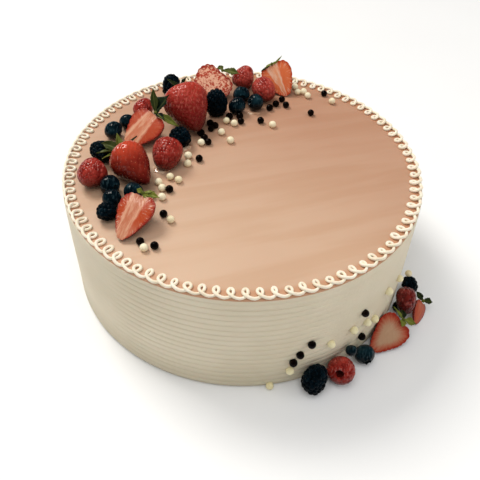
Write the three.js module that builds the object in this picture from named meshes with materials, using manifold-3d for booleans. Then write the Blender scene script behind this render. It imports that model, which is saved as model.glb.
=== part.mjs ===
// Berry cake: a round cream cake with a combed side, a thin pink glaze on top, a looped piped border
// along the rim, whole and halved berries in two clusters, and small crisp pearls scattered round them.
// Millimetres, +Z up, origin at the centre of the flat base, the cake's front towards -Y.
import * as THREE from 'three';
import { mergeVertices } from 'three/addons/utils/BufferGeometryUtils.js';
import Module from 'manifold-3d';

// Driving dimensions
const GAP = 0.3; // clearance between pieces that touch
const CAKE = { diameter: 248, height: 88.4, sides: 32, footInset: 1.4, footRise: 1.2, topRound: 1.3 };
const COMB = { ridges: 17, depth: 1.0, lowest: 2.4, highest: 84 };
const GLAZE = { thickness: 2.0, overhang: -0.6, sides: 36, edgeRound: 0.7 };
const BORDER = {
  loops: 94, // loops in the whole ring
  middleRadius: 119.5, // of the piped line's path
  swing: 3.35, // how far the path swings in and out of that radius
  curl: 3.4, // how far each loop turns back on itself
  lineWidth: 2.0,
  lineHeight: 2.0,
  pressedHeight: 1.15, // of the line where the next stroke crosses it
  bridgeRise: 1.35, // of the stroke that crosses on top
  steps: 7, // along each loop
  bunching: 3.0, // degrees by which the loops close up at the back left
  bunchingAt: 315, // direction of the widest loops
};
const PEARL = { diameter: 5.3, sunk: 0.55, sunkInSide: 1.4 };

const COLOURS = {
  cream: 0xd8cfb9,
  glaze: 0xd9a98c,
  ivory: 0xf0e6d2,
  strawberry: 0xb02a20,
  cutStrawberry: 0xcf6a45,
  raspberry: 0xa3302e,
  bramble: 0x10161b,
  blueberry: 0x1f3040,
  leaf: 0x3c5a2b,
};

const RADIUS = CAKE.diameter / 2;
const TOP = CAKE.height; // the glaze's upper face
const ON_TOP = TOP + GAP;

// Whole and halved strawberries. at is the middle of the axis, or of the cut face's axis for a half.
// heading and dip give the tip's direction, in degrees from +X and below the horizontal. roll turns
// a half about that axis, from a cut face that looks up, and depth is its flesh behind that face.
const STRAWBERRIES = [
  { name: 'strawberry_1', at: [-71.5, -24.2, 100.1], length: 34.5, width: 25, taper: 0.48, heading: 309, dip: 9 },
  { name: 'strawberry_2', at: [-41.3, 41.3, 103.4], length: 37, width: 31.5, taper: 0.44, heading: 298, dip: 24 },
];
const HALVES = [
  { name: 'half_strawberry_1', at: [-74, 19.2, 99.7], length: 32, width: 26, depth: 12, taper: 0.44,
    heading: 225, dip: 31, roll: -12 },
  { name: 'half_strawberry_2', at: [-29, 81.2, 99.8], length: 33, width: 29, depth: 11, taper: 0.4,
    heading: 226, dip: 32, roll: -35 },
  { name: 'half_strawberry_3', at: [26.8, 95, 100.2], length: 29, width: 24, depth: 10, taper: 0.42,
    heading: 315, dip: 46, roll: 46 },
  { name: 'half_strawberry_4', at: [-66.8, -69.2, 98], length: 32, width: 24, depth: 9.5, taper: 0.42,
    heading: 247, dip: 27, roll: 6 },
  { name: 'half_strawberry_5', at: [102.9, -85.4, 9.5], length: 32, width: 23.4, depth: 10, taper: 0.5,
    heading: 219, dip: 22, roll: -38 },
  { name: 'half_strawberry_6', at: [130, -61.5, 6], length: 18, width: 12, depth: 3.8, taper: 0.3,
    heading: 246, dip: 22, roll: -62 },
];
// Raspberries and brambles stand or lie with the tip in the given direction; dip -90 points it up.
const RASPBERRIES = [
  { name: 'raspberry_1', at: [-99, -30, 98.2], length: 19, width: 19, heading: 230, dip: 10 },
  { name: 'raspberry_2', at: [-77, 52.7, 96.1], length: 16, width: 14.4, heading: 60, dip: -30 },
  { name: 'raspberry_3', at: [-52.5, -6, 98], length: 23, width: 20.5, heading: 258, dip: 28 },
  { name: 'raspberry_4', at: [-2, 99.5, 98.8], length: 19, width: 17, heading: 40, dip: -60 },
  { name: 'raspberry_5', at: [14.5, 83, 97.4], length: 20, width: 18, heading: 300, dip: 15 },
  { name: 'raspberry_6', at: [68.9, -113.4, 9.3], length: 16.5, width: 18.4, heading: 70, dip: 32 },
  { name: 'raspberry_7', at: [119.4, -58.7, 15], length: 18.5, width: 15, heading: 270, dip: 50 },
];
const BRAMBLES = [
  { name: 'bramble_1', at: [-97, -3.5, 96.6], length: 19, width: 15.5, heading: 160, dip: 0 },
  { name: 'bramble_2', at: [-45.3, 17.6, 95.8], length: 16, width: 14.2, heading: 320, dip: 10 },
  { name: 'bramble_3', at: [-59.3, 83.5, 97.8], length: 19.5, width: 15, heading: 90, dip: -85 },
  { name: 'bramble_4', at: [-22.2, 59.2, 99.3], length: 22.5, width: 17.3, heading: 270, dip: -82 },
  { name: 'bramble_5', at: [-83.5, -62.2, 94.9], length: 13.2, width: 12.2, heading: 200, dip: 0 },
  { name: 'bramble_6', at: [50.9, -121.9, 10.6], length: 20, width: 16, heading: 45, dip: -55 },
  { name: 'bramble_7', at: [127.6, -37, 7.6], length: 14.4, width: 11.6, heading: 120, dip: -60 },
  { name: 'bramble_8', at: [116.2, -55.2, 4.4], length: 8, width: 7.6, heading: 320, dip: -85 },
];
const BLUEBERRIES = [
  { name: 'blueberry_1', at: [-95, 24.2, 95], width: 13.2, heading: 200, dip: -60 },
  { name: 'blueberry_2', at: [-87, 36.3, 94.4], width: 11.4, heading: 100, dip: 0 },
  { name: 'blueberry_3', at: [-3.5, 78, 95.1], width: 13.4, heading: 100, dip: 10 },
  { name: 'blueberry_4', at: [-6.5, 62.5, 94.9], width: 13.6, heading: 200, dip: -50 },
  { name: 'blueberry_5', at: [7.8, 68, 95.1], width: 13.2, heading: 30, dip: 20 },
  { name: 'blueberry_6', at: [-86, -37.6, 95.1], width: 13.4, heading: 140, dip: 10 },
  { name: 'blueberry_7', at: [-82.6, -49.7, 94.3], width: 12, heading: 260, dip: -50 },
  { name: 'blueberry_8', at: [-69.6, -43.4, 94.8], width: 13.2, heading: 0, dip: -40 },
  { name: 'blueberry_9', at: [86.2, -99.3, 7], width: 14, heading: 100, dip: 0 },
  { name: 'blueberry_10', at: [75.2, -104, 17.5], width: 8, heading: 100, dip: -50 },
];
// Green sepals at the stem end of the fruit named. Each leaf leaves the stem towards its heading and
// rise above the horizontal, and droops by its bend at the tip.
const CALYXES = [
  { fruit: 'strawberry_1', leaves: [
    { heading: 120, rise: 35, length: 12, width: 4.5, bend: 0.15 },
    { heading: 160, rise: 20, length: 15, width: 6, bend: 0.2 },
    { heading: 195, rise: 10, length: 16, width: 5, bend: 0.2 },
    { heading: 40, rise: 25, length: 11, width: 3.5, bend: 0.2 },
  ] },
  { fruit: 'strawberry_2', leaves: [
    { heading: 165, rise: 20, length: 11, width: 5, bend: 0.2 },
    { heading: 50, rise: 35, length: 10, width: 3.5, bend: 0.1 },
  ] },
  { fruit: 'half_strawberry_1', leaves: [
    { heading: 118, rise: 50, length: 15, width: 4.5, bend: 0.05 },
    { heading: 42, rise: 40, length: 14, width: 7, bend: 0.15 },
    { heading: 333, rise: -10, length: 18.5, width: 5.5, bend: 0.1 },
  ] },
  { fruit: 'half_strawberry_2', leaves: [
    { heading: 345, rise: 5, length: 14, width: 6, bend: 0.1 },
    { heading: 120, rise: 10, length: 8, width: 4.5, bend: 0.3 },
  ] },
  { fruit: 'half_strawberry_3', leaves: [
    { heading: 25, rise: 36, length: 10, width: 2.4, bend: 0 },
    { heading: 195, rise: -18, length: 11, width: 2.4, bend: 0.1 },
    { heading: 100, rise: 5, length: 7, width: 4, bend: 0.2 },
  ] },
  { fruit: 'half_strawberry_4', leaves: [
    { heading: 345, rise: 3, length: 11, width: 4.5, bend: 0.1 },
    { heading: 170, rise: 40, length: 4.5, width: 3.5, bend: 0 },
  ] },
  { fruit: 'half_strawberry_5', leaves: [
    { heading: 135, rise: 35, length: 11, width: 2.6, bend: 0.1 },
    { heading: 95, rise: 20, length: 7.5, width: 5, bend: 0.1 },
    { heading: 350, rise: -5, length: 9, width: 5, bend: 0.2 },
    { heading: 250, rise: 10, length: 6, width: 4.5, bend: 0.2 },
  ] },
  { fruit: 'half_strawberry_6', leaves: [
    { heading: 0, rise: 0, length: 7, width: 4.5, bend: 0.1 },
    { heading: 130, rise: 32, length: 8, width: 4, bend: 0.1 },
  ] },
];
// Pearls on the glaze, by X and Y, and on the side, by direction in degrees and height. The first
// one on the side lies at the foot.
const WHITE_ON_TOP = [
  [-14, 48], [-8, 45], [-17, 33], [-10, 23], [-31, 19], [21, 45], [40, 101], [42, 93], [47, 94], [50, 88],
  [69, 81], [-39, 3], [-38.5, -6], [-49, -21], [-43, -24], [-56, -27], [-53, -33], [-52, -42], [-59, -41],
  [-44, -63], [-57, -88],
];
const DARK_ON_TOP = [
  [29, 81], [24, 74], [32, 73], [19, 68], [12, 50], [-12, 54], [-4, 55], [-3, 48], [-26, 44], [-25, 37],
  [-22, 41], [-32, 31], [-29, 25], [-26, 20], [51, 63], [63.5, 92], [-31, 0], [-48, -34], [-49, -58],
  [-60, -83], [-51, -86],
];
const WHITE_ON_SIDE = [
  [280.3, 2.7], [286, 16.3], [298.5, 32], [306.7, 34.4], [312.7, 32], [316.8, 28], [321.7, 47], [330.5, 42],
];
const DARK_ON_SIDE = [
  [310.1, 46.3], [291.7, 39.7], [288.5, 31.6], [286.7, 24.6], [311.5, 19],
];
// One more white pearl rests on the bramble at the far right of the foot.
const PEARL_ON_BRAMBLE = { fruit: 'bramble_7', at: [125.9, -32.8, 15.6] };
const SEPAL_THICKNESS = 0.6;
const STEM_DIMPLE = 1.4; // depth of the hollow at a strawberry's stem end
const STEM_BUTTON = 2.6; // diameter of the knob that a calyx's leaves grow from
const BUTTON_LIFT = 0.5; // of that knob above the hollow

const RADIANS = Math.PI / 180;
const wasm = await Module();
wasm.setup();

// A repeatable number from -1 to 1 for an index and a named stream
function uneven(index, stream) {
  const wave = Math.sin(index * 12.9898 + stream * 78.233) * 43758.5453;
  return 2 * (wave - Math.floor(wave)) - 1;
}

function smoothStep(from, to, value) {
  const t = Math.min(1, Math.max(0, (value - from) / (to - from)));
  return t * t * (3 - 2 * t);
}

// A closed surface over rings of points that run anticlockwise about +Z and are stacked towards +Z,
// with a pole below the first ring and one above the last. Without poles the rings join end to end.
function surfaceOverRings(rings, lowPole, highPole) {
  const points = rings.flat();
  const around = rings[0].length;
  const triangles = [];
  const at = (ring, side) => ring * around + (side % around);
  const bands = lowPole ? rings.length - 1 : rings.length;
  for (let ring = 0; ring < bands; ring += 1) {
    const next = (ring + 1) % rings.length;
    for (let side = 0; side < around; side += 1) {
      triangles.push(at(ring, side), at(ring, side + 1), at(next, side + 1));
      triangles.push(at(ring, side), at(next, side + 1), at(next, side));
    }
  }
  if (lowPole) {
    const low = points.push(lowPole) - 1;
    const high = points.push(highPole) - 1;
    for (let side = 0; side < around; side += 1) {
      triangles.push(low, at(0, side + 1), at(0, side));
      triangles.push(high, at(rings.length - 1, side), at(rings.length - 1, side + 1));
    }
  }
  const geometry = new THREE.BufferGeometry();
  geometry.setAttribute('position', new THREE.Float32BufferAttribute(points.flat(), 3));
  geometry.setIndex(triangles);
  return geometry;
}

function toSolid(geometry) {
  const bare = geometry.clone();
  bare.deleteAttribute('normal');
  bare.deleteAttribute('uv');
  const merged = mergeVertices(bare, 1e-4);
  const vertProperties = new Float32Array(merged.attributes.position.array);
  const triVerts = new Uint32Array(merged.index.array);
  return new wasm.Manifold(new wasm.Mesh({ numProp: 3, vertProperties, triVerts }));
}

function toGeometry(solid) {
  const mesh = solid.getMesh();
  const geometry = new THREE.BufferGeometry();
  geometry.setAttribute('position', new THREE.BufferAttribute(mesh.vertProperties, 3));
  geometry.setIndex(new THREE.BufferAttribute(mesh.triVerts, 1));
  return geometry;
}

function fuse(base, extras) {
  let solid = toSolid(base);
  for (const extra of extras) {
    solid = solid.add(toSolid(extra));
  }
  return toGeometry(solid);
}

function pearl([x, y, z], turn) {
  const geometry = new THREE.IcosahedronGeometry(PEARL.diameter / 2, 0);
  geometry.rotateZ(turn);
  geometry.translate(x, y, z);
  return geometry;
}

// How deep the comb cut at a place on the side: shallow where the side was smoothed over at the back
// right of the front, and at the left where the comb was lifted off
function combStrength(angle, height) {
  const awayFrom = (middle) => Math.abs(((angle - middle + 540) % 360) - 180);
  const smoothedRight = (1 - smoothStep(22, 48, awayFrom(335))) * smoothStep(20, 60, height);
  const liftOff = 1 - smoothStep(10, 24, awayFrom(207));
  return 1 - 0.75 * Math.max(smoothedRight, liftOff);
}

function cakeBody() {
  const pitch = (COMB.highest - COMB.lowest) / COMB.ridges;
  const bodyTop = TOP - GLAZE.thickness - GAP;
  const levels = [{ z: 0, inset: CAKE.footInset }, { z: CAKE.footRise, inset: 0.5 }];
  for (let ridge = 0; ridge < COMB.ridges; ridge += 1) {
    const z = COMB.lowest + ridge * pitch;
    levels.push({ z, groove: true });
    levels.push({ z: z + pitch / 2 });
  }
  levels.push({ z: COMB.highest, groove: true });
  levels.push({ z: bodyTop - 0.2, inset: CAKE.topRound / 2 });
  levels.push({ z: bodyTop, inset: CAKE.topRound });
  const rings = levels.map(({ z, inset, groove }) => {
    const ring = [];
    for (let side = 0; side < CAKE.sides; side += 1) {
      const angle = (side * 360) / CAKE.sides;
      const cut = groove ? COMB.depth * combStrength(angle, z) : (inset ?? 0);
      const radius = RADIUS - cut;
      ring.push([radius * Math.cos(angle * RADIANS), radius * Math.sin(angle * RADIANS), z]);
    }
    return ring;
  });
  return surfaceOverRings(rings, [0, 0, 0], [0, 0, bodyTop]);
}

function glazeDisc() {
  const bottom = TOP - GLAZE.thickness;
  const outer = RADIUS + GLAZE.overhang;
  const profile = [
    [outer - 1.2, bottom],
    [outer, bottom + 0.4],
    [outer, TOP - GLAZE.edgeRound],
    [outer - GLAZE.edgeRound, TOP],
  ];
  const rings = profile.map(([radius, z]) => {
    const ring = [];
    for (let side = 0; side < GLAZE.sides; side += 1) {
      const angle = ((side * 360) / GLAZE.sides) * RADIANS;
      ring.push([radius * Math.cos(angle), radius * Math.sin(angle), z]);
    }
    return ring;
  });
  return surfaceOverRings(rings, [0, 0, bottom], [0, 0, TOP]);
}

function pearlsOnTop() {
  const z = TOP + PEARL.diameter / 2 - PEARL.sunk;
  return [...WHITE_ON_TOP, ...DARK_ON_TOP].map(([x, y], index) => pearl([x, y, z], index));
}

// The side is faceted, so a pearl sits by the flat between two corners
function pearlsOnSide() {
  const halfFlat = 180 / CAKE.sides;
  return [...WHITE_ON_SIDE, ...DARK_ON_SIDE].map(([direction, z], index) => {
    const angle = direction * RADIANS;
    const fromMiddle = ((direction % (2 * halfFlat)) - halfFlat) * RADIANS;
    const surface = (RADIUS * Math.cos(halfFlat * RADIANS)) / Math.cos(fromMiddle);
    const out = surface + PEARL.diameter / 2 - PEARL.sunkInSide;
    return pearl([out * Math.cos(angle), out * Math.sin(angle), z], index);
  });
}

// The piped line's path through one loop, as turn goes from 0 to 2 pi: out along the rim, up and
// round the loop towards the centre, and down over its own start
function borderPoint(loop, turn) {
  const step = 360 / BORDER.loops;
  const place = (loop + turn / (2 * Math.PI)) * step;
  const bunched = place + BORDER.bunching * Math.sin((place - BORDER.bunchingAt) * RADIANS);
  const curl = BORDER.curl * (1 + 0.07 * uneven(loop, 1));
  const swing = BORDER.swing * (1 + 0.08 * uneven(loop, 2) * Math.sin(turn / 2) ** 2);
  const radius = BORDER.middleRadius + BORDER.swing - swing * (1 - Math.cos(turn));
  const angle = bunched * RADIANS + (curl * Math.sin(turn)) / BORDER.middleRadius;
  return new THREE.Vector2(radius * Math.cos(angle), radius * Math.sin(angle));
}

function pipedBorder() {
  const sections = [];
  const half = BORDER.lineWidth / 2;
  for (let loop = 0; loop < BORDER.loops; loop += 1) {
    for (let step = 0; step < BORDER.steps; step += 1) {
      const turn = ((step + 0.5) * 2 * Math.PI) / BORDER.steps;
      const here = borderPoint(loop, turn);
      const delta = 0.04;
      const ahead = borderPoint(loop, turn + delta).sub(borderPoint(loop, turn - delta)).normalize();
      const side = new THREE.Vector2(-ahead.y, ahead.x).multiplyScalar(half);
      const crossingTop = step >= BORDER.steps - 2;
      const crossingUnder = step < 2;
      const leaving = step === BORDER.steps - 3 ? 0.4 : 0;
      const floor = ON_TOP + BORDER.bridgeRise * (crossingTop ? 1 : leaving);
      const height = crossingUnder ? BORDER.pressedHeight : BORDER.lineHeight * (crossingTop ? 0.75 : 1);
      sections.push([
        [here.x + side.x, here.y + side.y, floor],
        [here.x, here.y, floor + height],
        [here.x - side.x, here.y - side.y, floor],
      ]);
    }
  }
  return surfaceOverRings(sections);
}

// Half-width of a strawberry as a share of its width, as turn goes from the stem end at 0 to the
// tip at pi: a blunt shoulder and a tapering point
function strawberryHalfWidth(taper, turn) {
  const outline = (angle) => {
    const power = angle < Math.PI / 2 ? 0.66 : 0.9;
    return Math.sin(angle) ** power * (1 + taper * Math.cos(angle));
  };
  return outline(turn) / (2 * outline(0.27 * Math.PI));
}

// Rings of a strawberry along local +Z. The back of a half is as deep as it says, towards local +X.
function strawberryRings(fruit, angles) {
  const ringCount = 8;
  const depthScale = fruit.depth ? fruit.depth / (fruit.width / 2) : 1;
  const rings = [];
  for (let ring = 1; ring <= ringCount; ring += 1) {
    const turn = (ring * Math.PI) / (ringCount + 1);
    const z = (-fruit.length / 2) * Math.cos(turn);
    const radius = fruit.width * strawberryHalfWidth(fruit.taper, turn);
    rings.push(angles.map((angle) => {
      const lobed = radius * (1 + 0.03 * Math.cos(3 * angle + fruit.length));
      return [lobed * Math.cos(angle) * depthScale, lobed * Math.sin(angle), z];
    }));
  }
  return rings;
}

function wholeStrawberry(fruit) {
  const sides = 14;
  const angles = Array.from({ length: sides }, (_, side) => (side * 2 * Math.PI) / sides);
  const rings = strawberryRings(fruit, angles);
  return surfaceOverRings(rings, [0, 0, -fruit.length / 2 + STEM_DIMPLE], [0, 0, fruit.length / 2]);
}

// The rounded back lies towards local +X, and the cut face is the plane X = 0
function halfStrawberry(fruit) {
  const arcs = 6;
  const angles = Array.from({ length: arcs + 1 }, (_, arc) => (arc / arcs - 0.5) * Math.PI);
  const rings = strawberryRings(fruit, angles);
  for (const ring of rings) {
    ring[0][0] = 0;
    ring[arcs][0] = 0;
  }
  return surfaceOverRings(rings, [0, 0, -fruit.length / 2 + STEM_DIMPLE], [0, 0, fruit.length / 2]);
}

// Bumps in staggered rows: every second vertex of a row stands out, and the rows alternate
function bumpyRings(fruit, rows, sides, from, to, widthAt) {
  const rings = [];
  for (let row = 0; row < rows; row += 1) {
    const turn = from + ((to - from) * row) / (rows - 1);
    const z = (-fruit.length / 2) * Math.cos(turn);
    const ring = [];
    for (let side = 0; side < sides; side += 1) {
      const angle = (side * 2 * Math.PI) / sides;
      const raised = (side + row) % 2 === 0;
      const radius = widthAt(turn) * (raised ? 1 : 0.88);
      ring.push([radius * Math.cos(angle), radius * Math.sin(angle), z]);
    }
    rings.push(ring);
  }
  return rings;
}

// Open at the stem end, where the core was: the hollow goes in as an inner cup
function raspberry(fruit) {
  const sides = 10;
  const widthAt = (turn) => (fruit.width / 2) * Math.sin(turn) ** 0.75 * (1 + 0.16 * Math.cos(turn));
  const outside = bumpyRings(fruit, 5, sides, 0.42, 2.7, widthAt);
  const cupRadius = fruit.width * 0.22;
  const rimZ = outside[0][0][2] + 0.6;
  const circle = (radius, z) => outside[0].map((_, side) => {
    const angle = (side * 2 * Math.PI) / sides;
    return [radius * Math.cos(angle), radius * Math.sin(angle), z];
  });
  const cupFloor = rimZ + fruit.length * 0.38;
  const rings = [circle(cupRadius * 0.7, cupFloor), circle(cupRadius, rimZ), ...outside];
  return surfaceOverRings(rings, [0, 0, cupFloor + 0.8], [0, 0, fruit.length / 2]);
}

function bramble(fruit) {
  const widthAt = (turn) => (fruit.width / 2) * Math.sin(turn) ** 0.7 * (1 + 0.1 * Math.cos(turn));
  const rings = bumpyRings(fruit, 5, 12, 0.5, 2.6, widthAt);
  return surfaceOverRings(rings, [0, 0, -fruit.length / 2 + 0.6], [0, 0, fruit.length / 2]);
}

// A slightly flattened ball with a raised crown at local -Z
function blueberry(fruit) {
  const radius = fruit.width / 2;
  const tall = 0.88;
  const profile = [
    [radius * 0.16, -radius * tall * 0.84],
    [radius * 0.34, -radius * tall * 1.0],
    [radius * 0.48, -radius * tall * 0.86],
    [radius * 0.96, -radius * tall * 0.28],
    [radius * 0.87, radius * tall * 0.5],
  ];
  const sides = 8;
  const rings = profile.map(([wide, z]) => Array.from({ length: sides }, (_, side) => {
    const angle = (side * 2 * Math.PI) / sides;
    return [wide * Math.cos(angle), wide * Math.sin(angle), z];
  }));
  return surfaceOverRings(rings, [0, 0, profile[0][1] + 0.2], [0, 0, radius * tall]);
}

function directionOf(heading, rise) {
  const level = Math.cos(rise * RADIANS);
  const x = level * Math.cos(heading * RADIANS);
  const y = level * Math.sin(heading * RADIANS);
  return new THREE.Vector3(x, y, Math.sin(rise * RADIANS));
}

// A thin pointed blade from the origin along its heading: both faces are split alike, and its middle
// is folded down and its tip droops
function sepal(leaf) {
  const along = directionOf(leaf.heading, leaf.rise);
  const across = directionOf(leaf.heading + 90, 0);
  const out = new THREE.Vector3().crossVectors(along, across);
  const droop = -leaf.bend * leaf.length;
  const stations = [
    [0.4, -0.16 * leaf.width, 0],
    [0.4, 0.16 * leaf.width, 0],
    [0.52 * leaf.length, -0.5 * leaf.width, 0.1 * leaf.width],
    [0.46 * leaf.length, 0, -0.08 * leaf.width],
    [0.52 * leaf.length, 0.5 * leaf.width, 0.14 * leaf.width],
    [leaf.length, 0, droop],
  ];
  const place = (lower) => stations.map(([x, y, z]) => along.clone().multiplyScalar(x)
    .addScaledVector(across, y)
    .addScaledVector(out, z - (lower ? SEPAL_THICKNESS : 0))
    .toArray());
  const face = [[0, 3, 1], [0, 2, 3], [1, 3, 4], [2, 5, 3], [3, 5, 4]];
  const rim = [0, 2, 5, 4, 1];
  const count = stations.length;
  const triangles = face.flatMap(([a, b, c]) => [a, b, c, a + count, c + count, b + count]);
  rim.forEach((corner, index) => {
    const next = rim[(index + 1) % rim.length];
    triangles.push(next, corner, corner + count, next, corner + count, next + count);
  });
  const geometry = new THREE.BufferGeometry();
  const points = [...place(false), ...place(true)].flat();
  geometry.setAttribute('position', new THREE.Float32BufferAttribute(points, 3));
  geometry.setIndex(triangles);
  return geometry;
}

function calyx({ fruit, leaves }, fruits) {
  const owner = fruits.find((one) => one.name === fruit);
  const stemWards = directionOf(owner.heading, -owner.dip).negate();
  const centre = new THREE.Vector3(...owner.at);
  const stemEnd = owner.length / 2 - STEM_DIMPLE;
  centre.addScaledVector(stemWards, stemEnd + STEM_BUTTON / 2 + GAP + BUTTON_LIFT);
  const button = new THREE.OctahedronGeometry(STEM_BUTTON / 2, 0);
  const geometry = fuse(button, leaves.map(sepal));
  geometry.translate(...centre.toArray());
  return named(`calyx_of_${fruit}`, geometry, material(COLOURS.leaf, 0.5));
}

function material(colour, roughness = 0.5) {
  return new THREE.MeshStandardMaterial({ color: colour, roughness, metalness: 0 });
}

// Turns a fruit that was made with its tip towards local +Z to its heading, dip and roll
function placed(fruit, geometry, fruitMaterial) {
  const mesh = new THREE.Mesh(geometry, fruitMaterial);
  const spin = (axis, degrees) => new THREE.Quaternion().setFromAxisAngle(axis, degrees * RADIANS);
  const up = new THREE.Vector3(0, 0, 1);
  mesh.quaternion.copy(spin(up, fruit.heading));
  mesh.quaternion.multiply(spin(new THREE.Vector3(0, 1, 0), 90 + fruit.dip));
  mesh.quaternion.multiply(spin(up, fruit.roll ?? 0));
  mesh.position.set(...fruit.at);
  mesh.name = fruit.name;
  return mesh;
}

// The same fruit with a pearl fused on, which needs both in the cake's own frame
function withPearl(mesh, at) {
  mesh.updateMatrix();
  const settled = mesh.geometry.clone().applyMatrix4(mesh.matrix);
  return named(mesh.name, fuse(settled, [pearl(at, 0)]), mesh.material);
}

function named(name, geometry, itsMaterial) {
  const mesh = new THREE.Mesh(geometry, itsMaterial);
  mesh.name = name;
  return mesh;
}

const cake = new THREE.Group();
cake.add(named('cake', fuse(cakeBody(), pearlsOnSide()), material(COLOURS.cream, 0.7)));
cake.add(named('glaze', fuse(glazeDisc(), pearlsOnTop()), material(COLOURS.glaze, 0.3)));
cake.add(named('piped_border', pipedBorder(), material(COLOURS.ivory, 0.6)));
for (const fruit of STRAWBERRIES) {
  cake.add(placed(fruit, wholeStrawberry(fruit), material(COLOURS.strawberry, 0.3)));
}
for (const fruit of HALVES) {
  cake.add(placed(fruit, halfStrawberry(fruit), material(COLOURS.cutStrawberry, 0.3)));
}
for (const fruit of RASPBERRIES) {
  cake.add(placed(fruit, raspberry(fruit), material(COLOURS.raspberry, 0.5)));
}
for (const fruit of BRAMBLES) {
  const mesh = placed(fruit, bramble(fruit), material(COLOURS.bramble, 0.35));
  cake.add(fruit.name === PEARL_ON_BRAMBLE.fruit ? withPearl(mesh, PEARL_ON_BRAMBLE.at) : mesh);
}
for (const owner of CALYXES) {
  cake.add(calyx(owner, [...STRAWBERRIES, ...HALVES]));
}
for (const fruit of BLUEBERRIES) {
  cake.add(placed(fruit, blueberry(fruit), material(COLOURS.blueberry, 0.4)));
}

export default cake;
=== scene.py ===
"""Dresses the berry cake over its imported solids: a combed cream side, a thin pink glaze, a looped
piped border, fresh berries with their green sepals, and crisp pearls. Shapes are modelled in
millimetres, in the fruit's own frame where it has one, and are then put in place in metres."""

import logging
import math
from dataclasses import dataclass
from enum import Enum
from functools import reduce
from typing import Callable, Optional, Sequence

import bpy
import numpy as np
from mathutils import Matrix, Quaternion, Vector, kdtree, noise

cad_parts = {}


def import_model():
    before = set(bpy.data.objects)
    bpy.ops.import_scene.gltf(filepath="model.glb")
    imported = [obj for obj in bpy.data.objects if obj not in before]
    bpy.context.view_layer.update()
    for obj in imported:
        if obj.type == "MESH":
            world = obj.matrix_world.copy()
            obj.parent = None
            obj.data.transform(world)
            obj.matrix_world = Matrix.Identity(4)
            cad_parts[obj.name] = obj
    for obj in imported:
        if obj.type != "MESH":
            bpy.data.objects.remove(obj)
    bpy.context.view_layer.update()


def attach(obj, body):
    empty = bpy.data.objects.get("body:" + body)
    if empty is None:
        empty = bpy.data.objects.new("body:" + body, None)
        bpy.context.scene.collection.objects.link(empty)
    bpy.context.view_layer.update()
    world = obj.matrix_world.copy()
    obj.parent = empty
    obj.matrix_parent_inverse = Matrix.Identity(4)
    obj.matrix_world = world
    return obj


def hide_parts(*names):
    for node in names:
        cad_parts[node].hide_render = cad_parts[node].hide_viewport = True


LOG = logging.getLogger("berry_cake")
MM = 0.001
GOLDEN_ANGLE = math.pi * (3.0 - math.sqrt(5.0))

Point2 = tuple[float, float]
Point3 = tuple[float, float, float]
Array = np.ndarray
Rule = Callable[[Array], Array]
Piece = bpy.types.Object
Socket = bpy.types.NodeSocket


def uneven(index: float, stream: float) -> float:
    """A number from -1 to 1 for a piece's index and the stream of one of its qualities, always the same."""
    wave = math.sin(index * 12.9898 + stream * 78.233) * 43758.5453
    return 2.0 * (wave - math.floor(wave)) - 1.0


def smooth_step(low: float, high: float, value: Array) -> Array:
    """A share that rises smoothly from 0 where the value is low to 1 where it is high."""
    share = np.clip((value - low) / (high - low), 0.0, 1.0)
    return share * share * (3.0 - 2.0 * share)


def linear(colour: str) -> tuple[float, float, float, float]:
    """A screen colour such as "d8cfb9" as the linear RGBA that shaders take.

    Args:
        colour: the screen colour, in hex.

    Returns:
        Its red, green, blue and alpha.
    """
    parts = (int(colour[at : at + 2], 16) / 255.0 for at in (0, 2, 4))
    red, green, blue = (c / 12.92 if c <= 0.04045 else ((c + 0.055) / 1.055) ** 2.4 for c in parts)
    return (red, green, blue, 1.0)


# The modelling bench


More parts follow.
